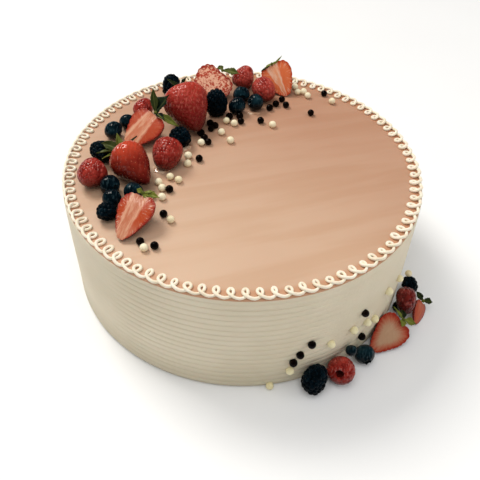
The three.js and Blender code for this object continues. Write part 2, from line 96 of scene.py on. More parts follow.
class Bench:
    """Steps of modelling that every piece shares."""

    @staticmethod
    def clear() -> None:
        """Leaves edit mode and deselects everything."""
        if bpy.context.object is not None and bpy.context.object.mode != "OBJECT":
            bpy.ops.object.mode_set(mode="OBJECT")
        bpy.ops.object.select_all(action="DESELECT")

    @staticmethod
    def pick(piece: Piece) -> None:
        """Makes one piece the only selected and the active one.

        Args:
            piece: the piece.
        """
        Bench.clear()
        piece.select_set(True)
        bpy.context.view_layer.objects.active = piece

    @staticmethod
    def tidy(piece: Piece, reach: float = 1e-4) -> None:
        """Merges doubles and turns every face outwards.

        Args:
            piece: the piece.
            reach: how far apart doubles may lie, in millimetres.
        """
        Bench.pick(piece)
        bpy.ops.object.mode_set(mode="EDIT")
        bpy.ops.mesh.select_all(action="SELECT")
        bpy.ops.mesh.remove_doubles(threshold=reach)
        bpy.ops.mesh.normals_make_consistent(inside=False)
        bpy.ops.object.mode_set(mode="OBJECT")

    @staticmethod
    def turned(name: str, profile: Sequence[Point2], steps: int) -> Piece:
        """Turns a profile round the Z axis, as on a wheel.

        Args:
            name: the piece's name.
            profile: radius and height of each point, from the bottom pole to the top one.
            steps: how many faces go round.

        Returns:
            The closed piece.
        """
        Bench.clear()
        radius, height = profile[0]
        bpy.ops.mesh.primitive_plane_add(size=0.2, location=(0.0, 0.0, 0.0))
        piece = bpy.context.object
        piece.name = name
        bpy.ops.object.mode_set(mode="EDIT")
        bpy.ops.mesh.select_all(action="SELECT")
        bpy.ops.mesh.merge(type="CENTER")
        bpy.ops.transform.translate(value=(radius, 0.0, height))
        for next_radius, next_height in profile[1:]:
            move = (next_radius - radius, 0.0, next_height - height)
            bpy.ops.mesh.extrude_region_move(TRANSFORM_OT_translate={"value": move})
            radius, height = next_radius, next_height
        bpy.ops.mesh.select_all(action="SELECT")
        bpy.ops.mesh.spin(steps=steps, angle=2.0 * math.pi, center=(0.0, 0.0, 0.0), axis=(0.0, 0.0, 1.0))
        bpy.ops.object.mode_set(mode="OBJECT")
        Bench.tidy(piece)
        return piece

    @staticmethod
    def ball(name: str, radius: float, segments: int, rings: int) -> Piece:
        """A round blank to be shaped.

        Args:
            name: the piece's name.
            radius: its radius.
            segments: faces round it.
            rings: faces from pole to pole.

        Returns:
            The blank, at the origin.
        """
        Bench.clear()
        bpy.ops.mesh.primitive_uv_sphere_add(segments=segments, ring_count=rings, radius=radius)
        piece = bpy.context.object
        piece.name = name
        return piece

    @staticmethod
    def points(piece: Piece) -> Array:
        """The piece's vertices, one row each.

        Args:
            piece: the piece.

        Returns:
            Their places.
        """
        flat = np.empty(len(piece.data.vertices) * 3)
        piece.data.vertices.foreach_get("co", flat)
        return flat.reshape(-1, 3)

    @staticmethod
    def directions(piece: Piece) -> Array:
        """The direction of each vertex round the Z axis, in radians."""
        x, y, _ = Bench.points(piece).T
        return np.arctan2(y, x)

    @staticmethod
    def shape(piece: Piece, rule: Rule) -> None:
        """Moves every vertex by a rule that takes the vertices, one row each, and returns where they go."""
        piece.data.vertices.foreach_set("co", rule(Bench.points(piece)).ravel())
        piece.data.update()

    @staticmethod
    def widen(piece: Piece, share: Array) -> None:
        """Scales the distance of each vertex from the Z axis by its own share."""
        Bench.shape(piece, lambda points: points * np.c_[share, share, np.ones(len(share))])

    @staticmethod
    def press_along_normals(piece: Piece, depth: Array) -> None:
        """Pushes each vertex inwards, along its own normal, by its depth.

        Args:
            piece: the piece.
            depth: one depth for each vertex.
        """
        normals = np.empty(len(piece.data.vertices) * 3)
        piece.data.vertices.foreach_get("normal", normals)
        Bench.shape(piece, lambda points: points - normals.reshape(-1, 3) * depth[:, None])

    @staticmethod
    def paint(piece: Piece, name: str, values: Array) -> None:
        """Stores a number or a vector for each vertex, for the finish to read.

        Args:
            piece: the piece.
            name: the attribute's name.
            values: one number, or one row of three, for each vertex.
        """
        kind, key = ("FLOAT_VECTOR", "vector") if values.ndim == 2 else ("FLOAT", "value")
        layer = piece.data.attributes.new(name=name, type=kind, domain="POINT")
        layer.data.foreach_set(key, np.ascontiguousarray(values, dtype=np.float32).ravel())

    @staticmethod
    def copies(name: str, blank: Piece, places: Sequence[Matrix]) -> Piece:
        """Sets a copy of a blank at each place and joins them to one piece.

        Args:
            name: the new piece's name.
            blank: what is copied; it is removed afterwards.
            places: one matrix for each copy.

        Returns:
            The joined piece, with a number from 0 to 1 for each copy in its attribute "tone".
        """
        corners = np.c_[Bench.points(blank), np.ones(len(blank.data.vertices))]
        faces = [tuple(face.vertices) for face in blank.data.polygons]
        rows = [corners @ np.array(place).T[:, :3] for place in places]
        count = len(corners)
        joined = [tuple(v + count * at for v in face) for at in range(len(places)) for face in faces]
        mesh = bpy.data.meshes.new(name)
        mesh.from_pydata(np.concatenate(rows).tolist(), [], joined)
        mesh.update()
        piece = bpy.data.objects.new(name, mesh)
        bpy.context.collection.objects.link(piece)
        tones = np.array([0.5 + 0.5 * uneven(at, 9.0) for at in range(len(places))])
        Bench.paint(piece, "tone", np.repeat(tones, count))
        bpy.data.objects.remove(blank)
        return piece

    @staticmethod
    def join(name: str, pieces: Sequence[Piece]) -> Piece:
        """Joins pieces to one.

        Args:
            name: the joined piece's name.
            pieces: the pieces, of which the first one stays.

        Returns:
            The joined piece.
        """
        Bench.clear()
        for piece in pieces:
            piece.select_set(True)
        bpy.context.view_layer.objects.active = pieces[0]
        bpy.ops.object.join()
        pieces[0].name = name
        return pieces[0]

    @staticmethod
    def hand_over(
        piece: Piece,
        finish: "Finish",
        slot: str,
        nodes: Sequence[str],
        place: Optional[Matrix] = None,
    ) -> None:
        """Puts a finished piece in its place in metres, dresses it and ties it to the frame.

        Args:
            piece: the piece, still in millimetres.
            finish: its finish.
            slot: the name of its material slot; it is not used.
            nodes: the solids it stands for.
            place: where its own frame lies, in millimetres; the cake's own frame if it is left out.
        """
        piece.data.transform(Matrix.Scale(MM, 4) @ (place or Matrix.Identity(4)))
        piece.data.update()
        piece.data.name = piece.name
        piece.data.polygons.foreach_set("use_smooth", [True] * len(piece.data.polygons))
        piece.data.materials.clear()
        piece.data.materials.append(finish.material())
        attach(piece, "root")
        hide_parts(*nodes)
        LOG.info("%s: %d faces, for %s", piece.name, len(piece.data.polygons), ", ".join(nodes))


# Finishes


class Recipe:
    """One material's nodes."""

    dents_across = 2.2  # scale of the dents of wet skin from side to side
    dents_soft = 0.28  # how strong their finer octaves are
    glint_scale = 430.0
    glint_drawn = (2.3, 0.7, 0.7)  # scale of the painted glint strokes from side to side, backwards and upwards
    painted_shade_tone = "5c2c36"  # painted shade: tone that darkens the side on which a fruit rests

    def __init__(self, name: str) -> None:
        """Starts an empty material with a Principled BSDF.

        Args:
            name: the material's name.
        """
        self.material = bpy.data.materials.new(name)
        self.material.use_nodes = True
        self.tree = self.material.node_tree
        self.tree.nodes.clear()
        self.shader = self.node("ShaderNodeBsdfPrincipled")
        output = self.node("ShaderNodeOutputMaterial")
        self.tree.links.new(self.shader.outputs[0], output.inputs[0])

    def node(self, kind: str, **settings: object) -> bpy.types.Node:
        """Adds a node and sets its properties.

        Args:
            kind: Blender's name of the node.
            **settings: properties of the node.

        Returns:
            The node.
        """
        made = self.tree.nodes.new(kind)
        for key, value in settings.items():
            setattr(made, key, value)
        return made

    def feed(self, socket: Socket, value: object) -> None:
        """Links a socket to another, or sets it to a value.

        Args:
            socket: the socket.
            value: the other socket, or the value.
        """
        if isinstance(value, Socket):
            self.tree.links.new(value, socket)
        else:
            socket.default_value = value

    def set(self, **inputs: object) -> None:
        """Sets or links sockets of the shader; underscores stand for spaces."""
        for key, value in inputs.items():
            self.feed(self.shader.inputs[key.replace("_", " ")], value)

    def surface(self, colour: Socket, rough: object, gloss: float, normal: Socket) -> None:
        """Sets the shader's colour, roughness, specular level and normal."""
        self.set(Base_Color=colour, Roughness=rough, Specular_IOR_Level=gloss, Normal=normal)

    def place(self) -> Socket:
        """Object coordinates, in metres."""
        return self.node("ShaderNodeTexCoord").outputs["Object"]

    def attribute(self, name: str, vector: bool = False) -> Socket:
        """A number or vector that the piece stores for each vertex."""
        made = self.node("ShaderNodeAttribute", attribute_name=name)
        return made.outputs["Vector" if vector else "Fac"]

    def drawn_out(self, vector: object, scale: Point3, heading: float = 0.0) -> Socket:
        """Coordinates with their own scale along a heading, across it and upwards.

        Args:
            vector: the coordinates.
            scale: the scale along the heading, across it and along Z.
            heading: the heading in degrees, from +X towards +Y.

        Returns:
            The new coordinates.
        """
        turned = self.node("ShaderNodeVectorRotate", rotation_type="Z_AXIS")
        self.feed(turned.inputs["Vector"], vector)
        turned.inputs["Angle"].default_value = math.radians(-heading)
        made = self.node("ShaderNodeVectorMath", operation="MULTIPLY")
        self.feed(made.inputs[0], turned.outputs[0])
        made.inputs[1].default_value = scale
        return made.outputs[0]

    def noise(
        self, vector: object, scale: float, detail: float = 2.0, rough: float = 0.5, warp: float = 0.0
    ) -> Socket:
        """Soft noise from 0 to 1.

        Args:
            vector: the coordinates.
            scale: how fine it is.
            detail: its octaves.
            rough: how strong the finer octaves are.
            warp: its distortion.

        Returns:
            The noise's value.
        """
        made = self.node("ShaderNodeTexNoise")
        self.feed(made.inputs["Vector"], vector)
        made.inputs["Scale"].default_value = scale
        made.inputs["Detail"].default_value = detail
        made.inputs["Roughness"].default_value = rough
        made.inputs["Distortion"].default_value = warp
        return made.outputs["Fac"]

    def math(self, operation: str, first: object, second: object = 0.0) -> Socket:
        """One step of arithmetic.

        Args:
            operation: Blender's name of the operation.
            first: first number or socket.
            second: second number or socket.

        Returns:
            The result.
        """
        made = self.node("ShaderNodeMath", operation=operation)
        self.feed(made.inputs[0], first)
        self.feed(made.inputs[1], second)
        return made.outputs[0]

    def times(self, *factors: object) -> Socket:
        """The product of some numbers or sockets."""
        return reduce(lambda product, factor: self.math("MULTIPLY", product, factor), factors)

    def plus(self, *terms: object) -> Socket:
        """The sum of some numbers or sockets."""
        return reduce(lambda total, term: self.math("ADD", total, term), terms)

    def minus(self, first: object, second: object) -> Socket:
        """The first number or socket less the second."""
        return self.math("SUBTRACT", first, second)

    def band(self, value: object, low: float, high: float) -> Socket:
        """Rises smoothly from 0 to 1 as a value goes from low to high.

        Args:
            value: the value.
            low: where the share is 0.
            high: where it is 1.

        Returns:
            The share.
        """
        made = self.node("ShaderNodeMapRange", interpolation_type="SMOOTHSTEP")
        self.feed(made.inputs["Value"], value)
        made.inputs["From Min"].default_value = low
        made.inputs["From Max"].default_value = high
        return made.outputs[0]

    def blend(self, share: object, first: object, second: object, way: str = "MIX") -> Socket:
        """Blends two colours.

        Args:
            share: how much of the second one shows.
            first: first colour, as a socket or as hex.
            second: second colour, as a socket or as hex.
            way: Blender's name of the way to blend.

        Returns:
            The blended colour.
        """
        made = self.node("ShaderNodeMix", data_type="RGBA", blend_type=way)
        self.feed(made.inputs[0], share)
        for at, colour in ((6, first), (7, second)):
            self.feed(made.inputs[at], linear(colour) if isinstance(colour, str) else colour)
        return made.outputs[2]

    def parts(self, vector: Socket) -> tuple[Socket, ...]:
        """The three parts of a vector.

        Args:
            vector: the vector.

        Returns:
            Its X, Y and Z.
        """
        made = self.node("ShaderNodeSeparateXYZ")
        self.feed(made.inputs[0], vector)
        return tuple(made.outputs)

    def vector(self, x: object, y: object, z: object) -> Socket:
        """A vector of three parts.

        Args:
            x: its X.
            y: its Y.
            z: its Z.

        Returns:
            The vector.
        """
        made = self.node("ShaderNodeCombineXYZ")
        for socket, value in zip(made.inputs, (x, y, z)):
            self.feed(socket, value)
        return made.outputs[0]

    def relief(self, vector: object, scale: float, height: float, soft: float = 0.5) -> Socket:
        """A normal with fine noise relief, from the shared group.

        Args:
            vector: the coordinates.
            scale: how fine it is.
            height: its height in millimetres.
            soft: how strong the finer octaves are.

        Returns:
            The normal.
        """
        made = self.node("ShaderNodeGroup", node_tree=fine_relief())
        self.feed(made.inputs["Vector"], vector)
        made.inputs["Scale"].default_value = scale
        made.inputs["Height"].default_value = height * MM
        made.inputs["Soft"].default_value = soft
        return made.outputs["Normal"]

    def bump(
        self, height: object, depth: float, normal: Optional[Socket] = None
    ) -> Socket:
        """A normal from a height.

        Args:
            height: the height, from 0 to 1.
            depth: what a height of 1 is in millimetres.
            normal: a normal that already has a relief.

        Returns:
            The normal.
        """
        made = self.node("ShaderNodeBump")
        made.inputs["Distance"].default_value = depth * MM
        self.feed(made.inputs["Height"], height)
        if normal is not None:
            self.feed(made.inputs["Normal"], normal)
        return made.outputs[0]

    def wet_relief(self, scale: float, height: float, along: float = 0.55) -> Socket:
        """A normal with the dents of wet skin, longer from front to back and upwards than across."""
        drawn = self.drawn_out(self.place(), (self.dents_across, along, along))
        return self.relief(drawn, scale, height, self.dents_soft)

    def wet_glint_strokes(self, strength: float) -> Socket:
        """A mask of painted glints: thin pale strokes on the upper side of wet fruit, drawn out as its dents
        are.

        Args:
            strength: how much of them shows.

        Returns:
            The mask from 0 to 1.
        """
        drawn = self.drawn_out(self.place(), self.glint_drawn)
        glint_strokes = self.mottle(drawn, self.glint_scale, 0.54, 0.66)
        return self.times(glint_strokes, self.band(self.attribute("upward"), 0.3, 0.85), strength)

    def shaded_below(self, colour: object, strength: float) -> Socket:
        """A fruit's colour with painted shade, deeper by some strength towards the side on which it rests."""
        low = self.times(self.band(self.attribute("upward"), 0.8, 0.1), strength)
        return self.blend(low, colour, self.painted_shade_tone, "MULTIPLY")

    def mottle(self, vector: object, scale: float, low: float, high: float) -> Socket:
        """A soft mask from the shared group.

        Args:
            vector: the coordinates.
            scale: how fine it is.
            low: noise value where it starts.
            high: noise value where it is full.

        Returns:
            The mask from 0 to 1.
        """
        made = self.node("ShaderNodeGroup", node_tree=soft_mottle())
        self.feed(made.inputs["Vector"], vector)
        made.inputs["Scale"].default_value = scale
        made.inputs["Low"].default_value = low
        made.inputs["High"].default_value = high
        return made.outputs["Mask"]


def shared_group(
    name: str, inputs: Sequence[str], result: str, kind: str
) -> tuple[bpy.types.NodeTree, bpy.types.Node, bpy.types.Node]:
    """Starts a shader node group.

    Args:
        name: the group's name.
        inputs: names of its number inputs, beside its Vector.
        result: name of its output.
        kind: socket type of its output.

    Returns:
        The group with its input and output nodes.
    """
    group = bpy.data.node_groups.new(name, "ShaderNodeTree")
    group.interface.new_socket("Vector", in_out="INPUT", socket_type="NodeSocketVector")
    for label in inputs:
        group.interface.new_socket(label, in_out="INPUT", socket_type="NodeSocketFloat")
    group.interface.new_socket(result, in_out="OUTPUT", socket_type=kind)
    return group, group.nodes.new("NodeGroupInput"), group.nodes.new("NodeGroupOutput")


def fine_relief() -> bpy.types.NodeTree:
    """The shared group that turns noise into a normal, built once.

    Returns:
        The group.
    """
    if "fine_relief" in bpy.data.node_groups:
        return bpy.data.node_groups["fine_relief"]
    group, start, end = shared_group("fine_relief", ("Scale", "Height", "Soft"), "Normal", "NodeSocketVector")
    texture = group.nodes.new("ShaderNodeTexNoise")
    texture.inputs["Detail"].default_value = 3.0
    bump = group.nodes.new("ShaderNodeBump")
    bump.inputs["Strength"].default_value = 1.0
    for label, socket in (("Vector", "Vector"), ("Scale", "Scale"), ("Soft", "Roughness")):
        group.links.new(start.outputs[label], texture.inputs[socket])
    group.links.new(start.outputs["Height"], bump.inputs["Distance"])
    group.links.new(texture.outputs["Fac"], bump.inputs["Height"])
    group.links.new(bump.outputs[0], end.inputs["Normal"])
    return group


def soft_mottle() -> bpy.types.NodeTree:
    """The shared group that turns noise into a soft mask, built once.

    Returns:
        The group.
    """
    if "soft_mottle" in bpy.data.node_groups:
        return bpy.data.node_groups["soft_mottle"]
    group, start, end = shared_group("soft_mottle", ("Scale", "Low", "High"), "Mask", "NodeSocketFloat")
    texture = group.nodes.new("ShaderNodeTexNoise")
    texture.inputs["Detail"].default_value = 3.0
    spread = group.nodes.new("ShaderNodeMapRange")
    spread.interpolation_type = "SMOOTHSTEP"
    for label in ("Vector", "Scale"):
        group.links.new(start.outputs[label], texture.inputs[label])
    group.links.new(texture.outputs["Fac"], spread.inputs["Value"])
    for label, socket in (("Low", "From Min"), ("High", "From Max")):
        group.links.new(start.outputs[label], spread.inputs[socket])
    group.links.new(spread.outputs[0], end.inputs["Mask"])
    return group


@dataclass(frozen=True)
class Finish:
    """A finish that pieces share by its name."""

    name: str

    def material(self) -> bpy.types.Material:
        """The finish's material, built when it is first asked for.

        Returns:
            The material.
        """
        found = bpy.data.materials.get(self.name)
        if found is not None:
            return found
        recipe = Recipe(self.name)
        self.mix(recipe)
        return recipe.material

    def mix(self, recipe: Recipe) -> None:
        """Makes the finish's nodes in the recipe given."""
        raise NotImplementedError


@dataclass(frozen=True)
class CreamFinish(Finish):
    """Whipped cream pulled round with a comb: matte, faintly uneven, with soft drag lines."""

    light: str = "dfd4bd"
    dark: str = "d3c7ae"
    # tone of the painted shade near the foot
    foot: str = "bdb399"
    shade_height: float = 30.0  # height in millimetres below which painted shade darkens it
    drag_depth: float = 0.2  # depth of the drag lines in millimetres
    rough: float = 0.6
    gloss: float = 0.25

    def mix(self, recipe: Recipe) -> None:
        """Soft colour patches and thin level drag lines, with painted shade towards the foot.

        Args:
            recipe: where its nodes are made.
        """
        place = recipe.place()
        patches = recipe.mottle(place, 14.0, 0.35, 0.7)
        colour = recipe.blend(patches, self.light, self.dark)
        drag = recipe.noise(recipe.drawn_out(place, (7.0, 7.0, 800.0)), 1.0, 2.0)
        colour = recipe.blend(recipe.times(drag, 0.25), colour, self.dark)
        # painted shade towards the foot
        low = recipe.band(recipe.parts(place)[2], self.shade_height * MM, 0.0)
        colour = recipe.blend(recipe.times(low, 0.6), colour, self.foot)
        normal = recipe.bump(drag, self.drag_depth, recipe.relief(place, 420.0, 0.08))
        recipe.surface(colour, self.rough, self.gloss, normal)
        recipe.set(Subsurface_Weight=0.08, Subsurface_Scale=0.002)


@dataclass(frozen=True)
class GlazeFinish(Finish):
    """Thin pink glaze with soft streaks from the spatula."""

    # the pale and deep tones make the painted light at the front, the painted shade at the back and the
    # cloudy patches
    thin: str = "ccac91"
    deep_shaded_tone: str = "b4886e"
    streak: str = "f9f4ef"
    # tone of the painted shade under the border
    rim: str = "b8703f"
    heading: float = 19.0  # direction in degrees in which the spatula was pulled
    reach: float = 0.14  # half the distance in metres over which painted light at the front turns to painted shade at the back
    streak_depth: float = 0.16  # depth of the streaks in millimetres
    border_shade_from: float = 114.5  # radius in millimetres at which the painted shade under the border starts
    border_shade_full: float = 118.0  # radius at which it is full
    rough: float = 0.46
    gloss: float = 0.55

    def mix(self, recipe: Recipe) -> None:
        """Glaze with painted light that pales it at the front and painted shade that deepens it towards the
        back, cloudy patches, long streaks and painted shade along the rim under the border.

        Args:
            recipe: where its nodes are made.
        """
        place = recipe.place()
        x, y, _ = recipe.parts(place)
        backward = recipe.plus(y, recipe.times(x, 0.4))
        pulled = recipe.drawn_out(place, (7.0, 62.0, 20.0), self.heading)
        streaks = recipe.noise(pulled, 1.0, 3.0, 0.55, 0.25)
        lines = recipe.noise(recipe.drawn_out(place, (16.0, 240.0, 20.0), self.heading), 1.0, 2.0)
        patches = recipe.times(recipe.mottle(place, 9.0, 0.3, 0.75), 0.16)
        # painted light at the front turning to painted shade at the back, with cloudy patches
        shading_and_patches = recipe.plus(recipe.band(backward, -self.reach, self.reach), patches)
        colour = recipe.blend(shading_and_patches, self.thin, self.deep_shaded_tone)
        colour = recipe.blend(recipe.band(streaks, 0.4, 0.64), colour, self.streak, "MULTIPLY")
        radius = recipe.math("SQRT", recipe.plus(recipe.times(x, x), recipe.times(y, y)))
        # painted shade on the glaze under the border
        border_shade = recipe.times(recipe.band(radius, self.border_shade_from * MM, self.border_shade_full * MM), 0.4)
        colour = recipe.blend(border_shade, colour, self.rim)
        normal = recipe.bump(recipe.plus(streaks, recipe.times(lines, 0.3)), self.streak_depth)
        rough = recipe.plus(self.rough, recipe.times(lines, 0.1))
        recipe.surface(colour, rough, self.gloss, normal)
        recipe.set(Subsurface_Weight=0.05, Subsurface_Scale=0.001)


@dataclass(frozen=True)
class PipedFinish(Finish):
    """Smooth ivory icing that came from a round nozzle."""

    light: str = "f4ead6"
    dark: str = "e9dcc3"
    rough: float = 0.5
    gloss: float = 0.3

    def mix(self, recipe: Recipe) -> None:
        """Ivory with faint patches and a very fine grain.

        Args:
            recipe: where its nodes are made.
        """
        place = recipe.place()
        colour = recipe.blend(recipe.mottle(place, 160.0, 0.4, 0.7), self.light, self.dark)
        recipe.surface(colour, self.rough, self.gloss, recipe.relief(place, 900.0, 0.05))
        recipe.set(Subsurface_Weight=0.08, Subsurface_Scale=0.001)


@dataclass(frozen=True)
class BerrySkinFinish(Finish):
    """Ripe strawberry skin: deep red, paler round the stem, wet and finely uneven."""

    ripe: str = "7a1813"
    bright: str = "a83428"
    stem: str = "b8503a"
    # colour of the painted glints
    glint_tone: str = "c8685a"
    rough: float = 0.26
    gloss: float = 0.3
    dents: float = 0.4  # height of the wet dents in millimetres
    dent_scale: float = 300.0
    dents_along: float = 0.55
    shade_below: float = 0.75  # strength of the painted shade on the side on which it rests
    # how much of the painted glints shows
    glint_strength: float = 0.5

    def patches(self, recipe: Recipe) -> Socket:
        """A mask of the brighter patches."""
        return recipe.mottle(recipe.place(), 110.0, 0.35, 0.68)

    def mix(self, recipe: Recipe) -> None:
        """Red patches with painted light on the upper side, a pale collar at the stem end, painted glints as
        pale strokes round the pits and on the upper side, painted shade on the lower side, and a wet relief.

        Args:
            recipe: where its nodes are made.
        """
        along = recipe.parts(recipe.attribute("berry", vector=True))[2]
        near_stem = recipe.band(along, 0.1, -0.5)
        # painted light: the upper side is lighter
        on_top = recipe.band(recipe.attribute("upward"), 0.66, 1.0)
        lift = recipe.plus(recipe.times(self.patches(recipe), 0.5), near_stem, on_top)
        colour = recipe.blend(recipe.times(lift, 0.5), self.ripe, self.bright)
        collar = recipe.band(along, -0.38, -0.5)
        colour = recipe.blend(recipe.times(collar, 0.6), colour, self.stem)
        # painted glints on the rims of the pits
        broken = recipe.band(recipe.noise(recipe.place(), 620.0, 2.0), 0.46, 0.62)
        glint_strokes = recipe.times(recipe.attribute("pit_rim"), self.glint_strength, broken, 0.6)
        colour = recipe.blend(glint_strokes, colour, self.glint_tone)
        # painted glints on the upper side
        colour = recipe.blend(recipe.wet_glint_strokes(self.glint_strength), colour, self.glint_tone)
        # painted shade on the side on which it rests
        colour = recipe.shaded_below(colour, self.shade_below)
        normal = recipe.wet_relief(self.dent_scale, self.dents, self.dents_along)
        recipe.surface(colour, self.rough, self.gloss, normal)


class FleshPattern(Enum):
    """How the cut face of a strawberry looks."""

    STREAKED = "streaked"
    MOTTLED = "mottled"
    PALE_HEART = "pale_heart"


@dataclass(frozen=True)
class FleshMasks:
    """What the patterns of a cut face share."""

    depth: Socket  # from 0 at the edge to 1 in the middle
    along: Socket  # from -0.5 at the stem end to 0.5 at the tip
    angle: Socket  # direction of the fibres, which fan out from the axis
    spokes: Socket  # noise along the fibres
    inward: Socket  # the depth, made uneven by the spokes
    inside: Socket  # the inside of the core
    outline: Socket  # the two wavering lines along the core
    strands: Socket  # noise along the core


@dataclass(frozen=True)
class CutBerryFinish(Finish):
    """A halved strawberry: moist flesh on the cut face, red skin behind it."""

    pattern: FleshPattern = FleshPattern.STREAKED
    rim: str = "9c2413"
    flesh: str = "c2583a"
    heart: str = "cc805c"
    vein: str = "e2b294"
    # colour of the painted glint threads
    thread_glint_tone: str = "ecd2bc"
    rays: float = 0.4  # strength of the pale rays
    thread_glints: float = 0.0  # strength of the painted glints, fine pale threads that run in from the edge
    core_width: float = 0.125  # half-width of the core, as a share of the berry's width
    core_taper: float = 0.16  # how much that share shrinks over the berry's length
    core_end: float = 0.9  # where the core ends, as a share of the length from the middle
    tip_paleness: float = 0.0
    rough: float = 0.24
    gloss: float = 0.3
    skin: BerrySkinFinish = BerrySkinFinish("berry_skin")

    def masks(self, recipe: Recipe) -> FleshMasks:
        """The masks over the cut face.

        Args:
            recipe: where its nodes are made.

        Returns:
            The masks.
        """
        depth = recipe.attribute("depth")
        _, across, along = recipe.parts(recipe.attribute("berry", vector=True))
        angle = recipe.math("ARCTAN2", across, recipe.plus(along, 0.1))
        spokes = recipe.noise(recipe.vector(recipe.times(angle, 5.0), depth, along), 2.4, 3.0, 0.6)
        waver = recipe.noise(recipe.vector(across, recipe.times(along, 3.0), 7.0), 2.0, 2.0)
        aside = recipe.math("ABSOLUTE", recipe.plus(across, recipe.times(waver, 0.09)))
        half_width = recipe.minus(self.core_width, recipe.times(along, self.core_taper))
        core = recipe.math("DIVIDE", aside, half_width)
        reach = recipe.band(along, self.core_end, self.core_end - 0.4)
        grain = recipe.vector(recipe.times(across, 17.0), recipe.times(along, 3.0), 3.0)
        return FleshMasks(
            depth=depth,
            along=along,
            angle=angle,
            spokes=spokes,
            inward=recipe.plus(depth, recipe.times(recipe.minus(spokes, 0.5), 0.3)),
            inside=recipe.times(recipe.band(core, 1.3, 0.7), reach),
            outline=recipe.times(recipe.band(core, 0.45, 0.95), recipe.band(core, 1.5, 1.05)),
            strands=recipe.noise(grain, 1.0, 3.0, 0.6, 0.4),
        )

    def fine_thread_glints(self, recipe: Recipe, masks: FleshMasks) -> Socket:
        """A mask of painted glints as fine threads, which show in places only.

        Args:
            recipe: the recipe.
            masks: the masks over the cut face.

        Returns:
            The mask from 0 to 1.
        """
        fan = recipe.vector(recipe.times(masks.angle, 14.0), recipe.times(masks.depth, 2.0), 5.0)
        thread_glints = recipe.band(recipe.noise(fan, 1.6, 2.0, 0.6), 0.54, 0.66)
        places = recipe.mottle(recipe.place(), 190.0, 0.4, 0.62)
        reach = recipe.band(masks.depth, 0.62, 0.3)
        return recipe.times(thread_glints, recipe.band(masks.depth, 0.01, 0.12), reach, places)

    def streaked(self, recipe: Recipe, masks: FleshMasks) -> Socket:
        """Rays and painted glint threads that run in from the edge, and a paler core between its two lines.

        Args:
            recipe: the recipe.
            masks: the masks over the cut face.

        Returns:
            The colour of the flesh.
        """
        colour = recipe.blend(recipe.band(masks.inward, 0.0, 0.24), self.rim, self.flesh)
        near_edge = recipe.band(masks.depth, 0.01, 0.12)
        reach = recipe.band(masks.depth, 0.6, 0.25)
        rays = recipe.times(recipe.band(masks.spokes, 0.5, 0.7), near_edge, reach, self.rays)
        colour = recipe.blend(rays, colour, self.vein)
        # painted glints: fine pale threads near the edge
        thread_glints = recipe.times(self.fine_thread_glints(recipe, masks), self.thread_glints)
        colour = recipe.blend(thread_glints, colour, self.thread_glint_tone)
        near_tip = recipe.band(masks.along, 0.0, 0.4)
        tip = recipe.times(near_tip, recipe.band(masks.depth, 0.02, 0.2), self.tip_paleness)
        colour = recipe.blend(tip, colour, self.vein)
        colour = recipe.blend(recipe.times(masks.inside, 0.7), colour, self.heart)
        pale = recipe.times(recipe.band(masks.strands, 0.46, 0.66), masks.inside, 0.5)
        colour = recipe.blend(pale, colour, self.vein)
        shown = recipe.times(masks.outline, recipe.band(masks.strands, 0.3, 0.5), 0.6)
        return recipe.blend(shown, colour, self.vein)

    def pale_hearted(self, recipe: Recipe, masks: FleshMasks) -> Socket:
        """Red that fades softly into a wide pale heart.

        Args:
            recipe: the recipe.
            masks: the masks over the cut face.

        Returns:
            The colour of the flesh.
        """
        faded = recipe.plus(masks.inward, recipe.times(recipe.minus(masks.spokes, 0.5), 0.1))
        colour = recipe.blend(recipe.band(faded, 0.0, 0.28), self.rim, self.flesh)
        colour = recipe.blend(recipe.band(faded, 0.14, 0.64), colour, self.heart)
        pale = recipe.times(recipe.band(masks.strands, 0.45, 0.7), masks.inside, 0.3)
        return recipe.blend(pale, colour, self.vein)

    def mottled(self, recipe: Recipe, masks: FleshMasks) -> Socket:
        """Pale flesh that is speckled and blotched with red.

        Args:
            recipe: the recipe.
            masks: the masks over the cut face.

        Returns:
            The colour of the flesh.
        """
        place = recipe.place()
        colour = recipe.blend(recipe.band(masks.inward, 0.0, 0.3), self.rim, self.flesh)
        spokes = recipe.times(recipe.band(masks.spokes, 0.45, 0.7), 0.4)
        colour = recipe.blend(spokes, colour, self.heart)
        speckle = recipe.noise(place, 560.0, 3.0, 0.62, 0.4)
        paler = recipe.band(recipe.plus(masks.depth, recipe.times(masks.along, 0.6)), -0.1, 0.6)
        blotches = recipe.times(recipe.minus(recipe.noise(place, 240.0, 2.0), 0.5), 0.4)
        share = recipe.plus(speckle, recipe.times(paler, 0.06), blotches)
        pale = recipe.times(recipe.band(share, 0.44, 0.62), recipe.band(masks.inward, 0.0, 0.16), 0.9)
        return recipe.blend(pale, colour, self.vein)

    def mix(self, recipe: Recipe) -> None:
        """Skin and flesh, told apart by the attribute "cut".

        Args:
            recipe: where its nodes are made.
        """
        patterns = {
            FleshPattern.STREAKED: self.streaked,
            FleshPattern.MOTTLED: self.mottled,
            FleshPattern.PALE_HEART: self.pale_hearted,
        }
        flesh = patterns[self.pattern](recipe, self.masks(recipe))
        # painted shade on the skin's lower side
        skin = recipe.shaded_below(recipe.blend(self.skin.patches(recipe), self.skin.ripe, self.skin.bright), 0.5)
        colour = recipe.blend(recipe.attribute("cut"), skin, flesh)
        recipe.surface(colour, self.rough, self.gloss, recipe.wet_relief(380.0, 0.3))
        recipe.set(Subsurface_Weight=0.05, Subsurface_Scale=0.001)


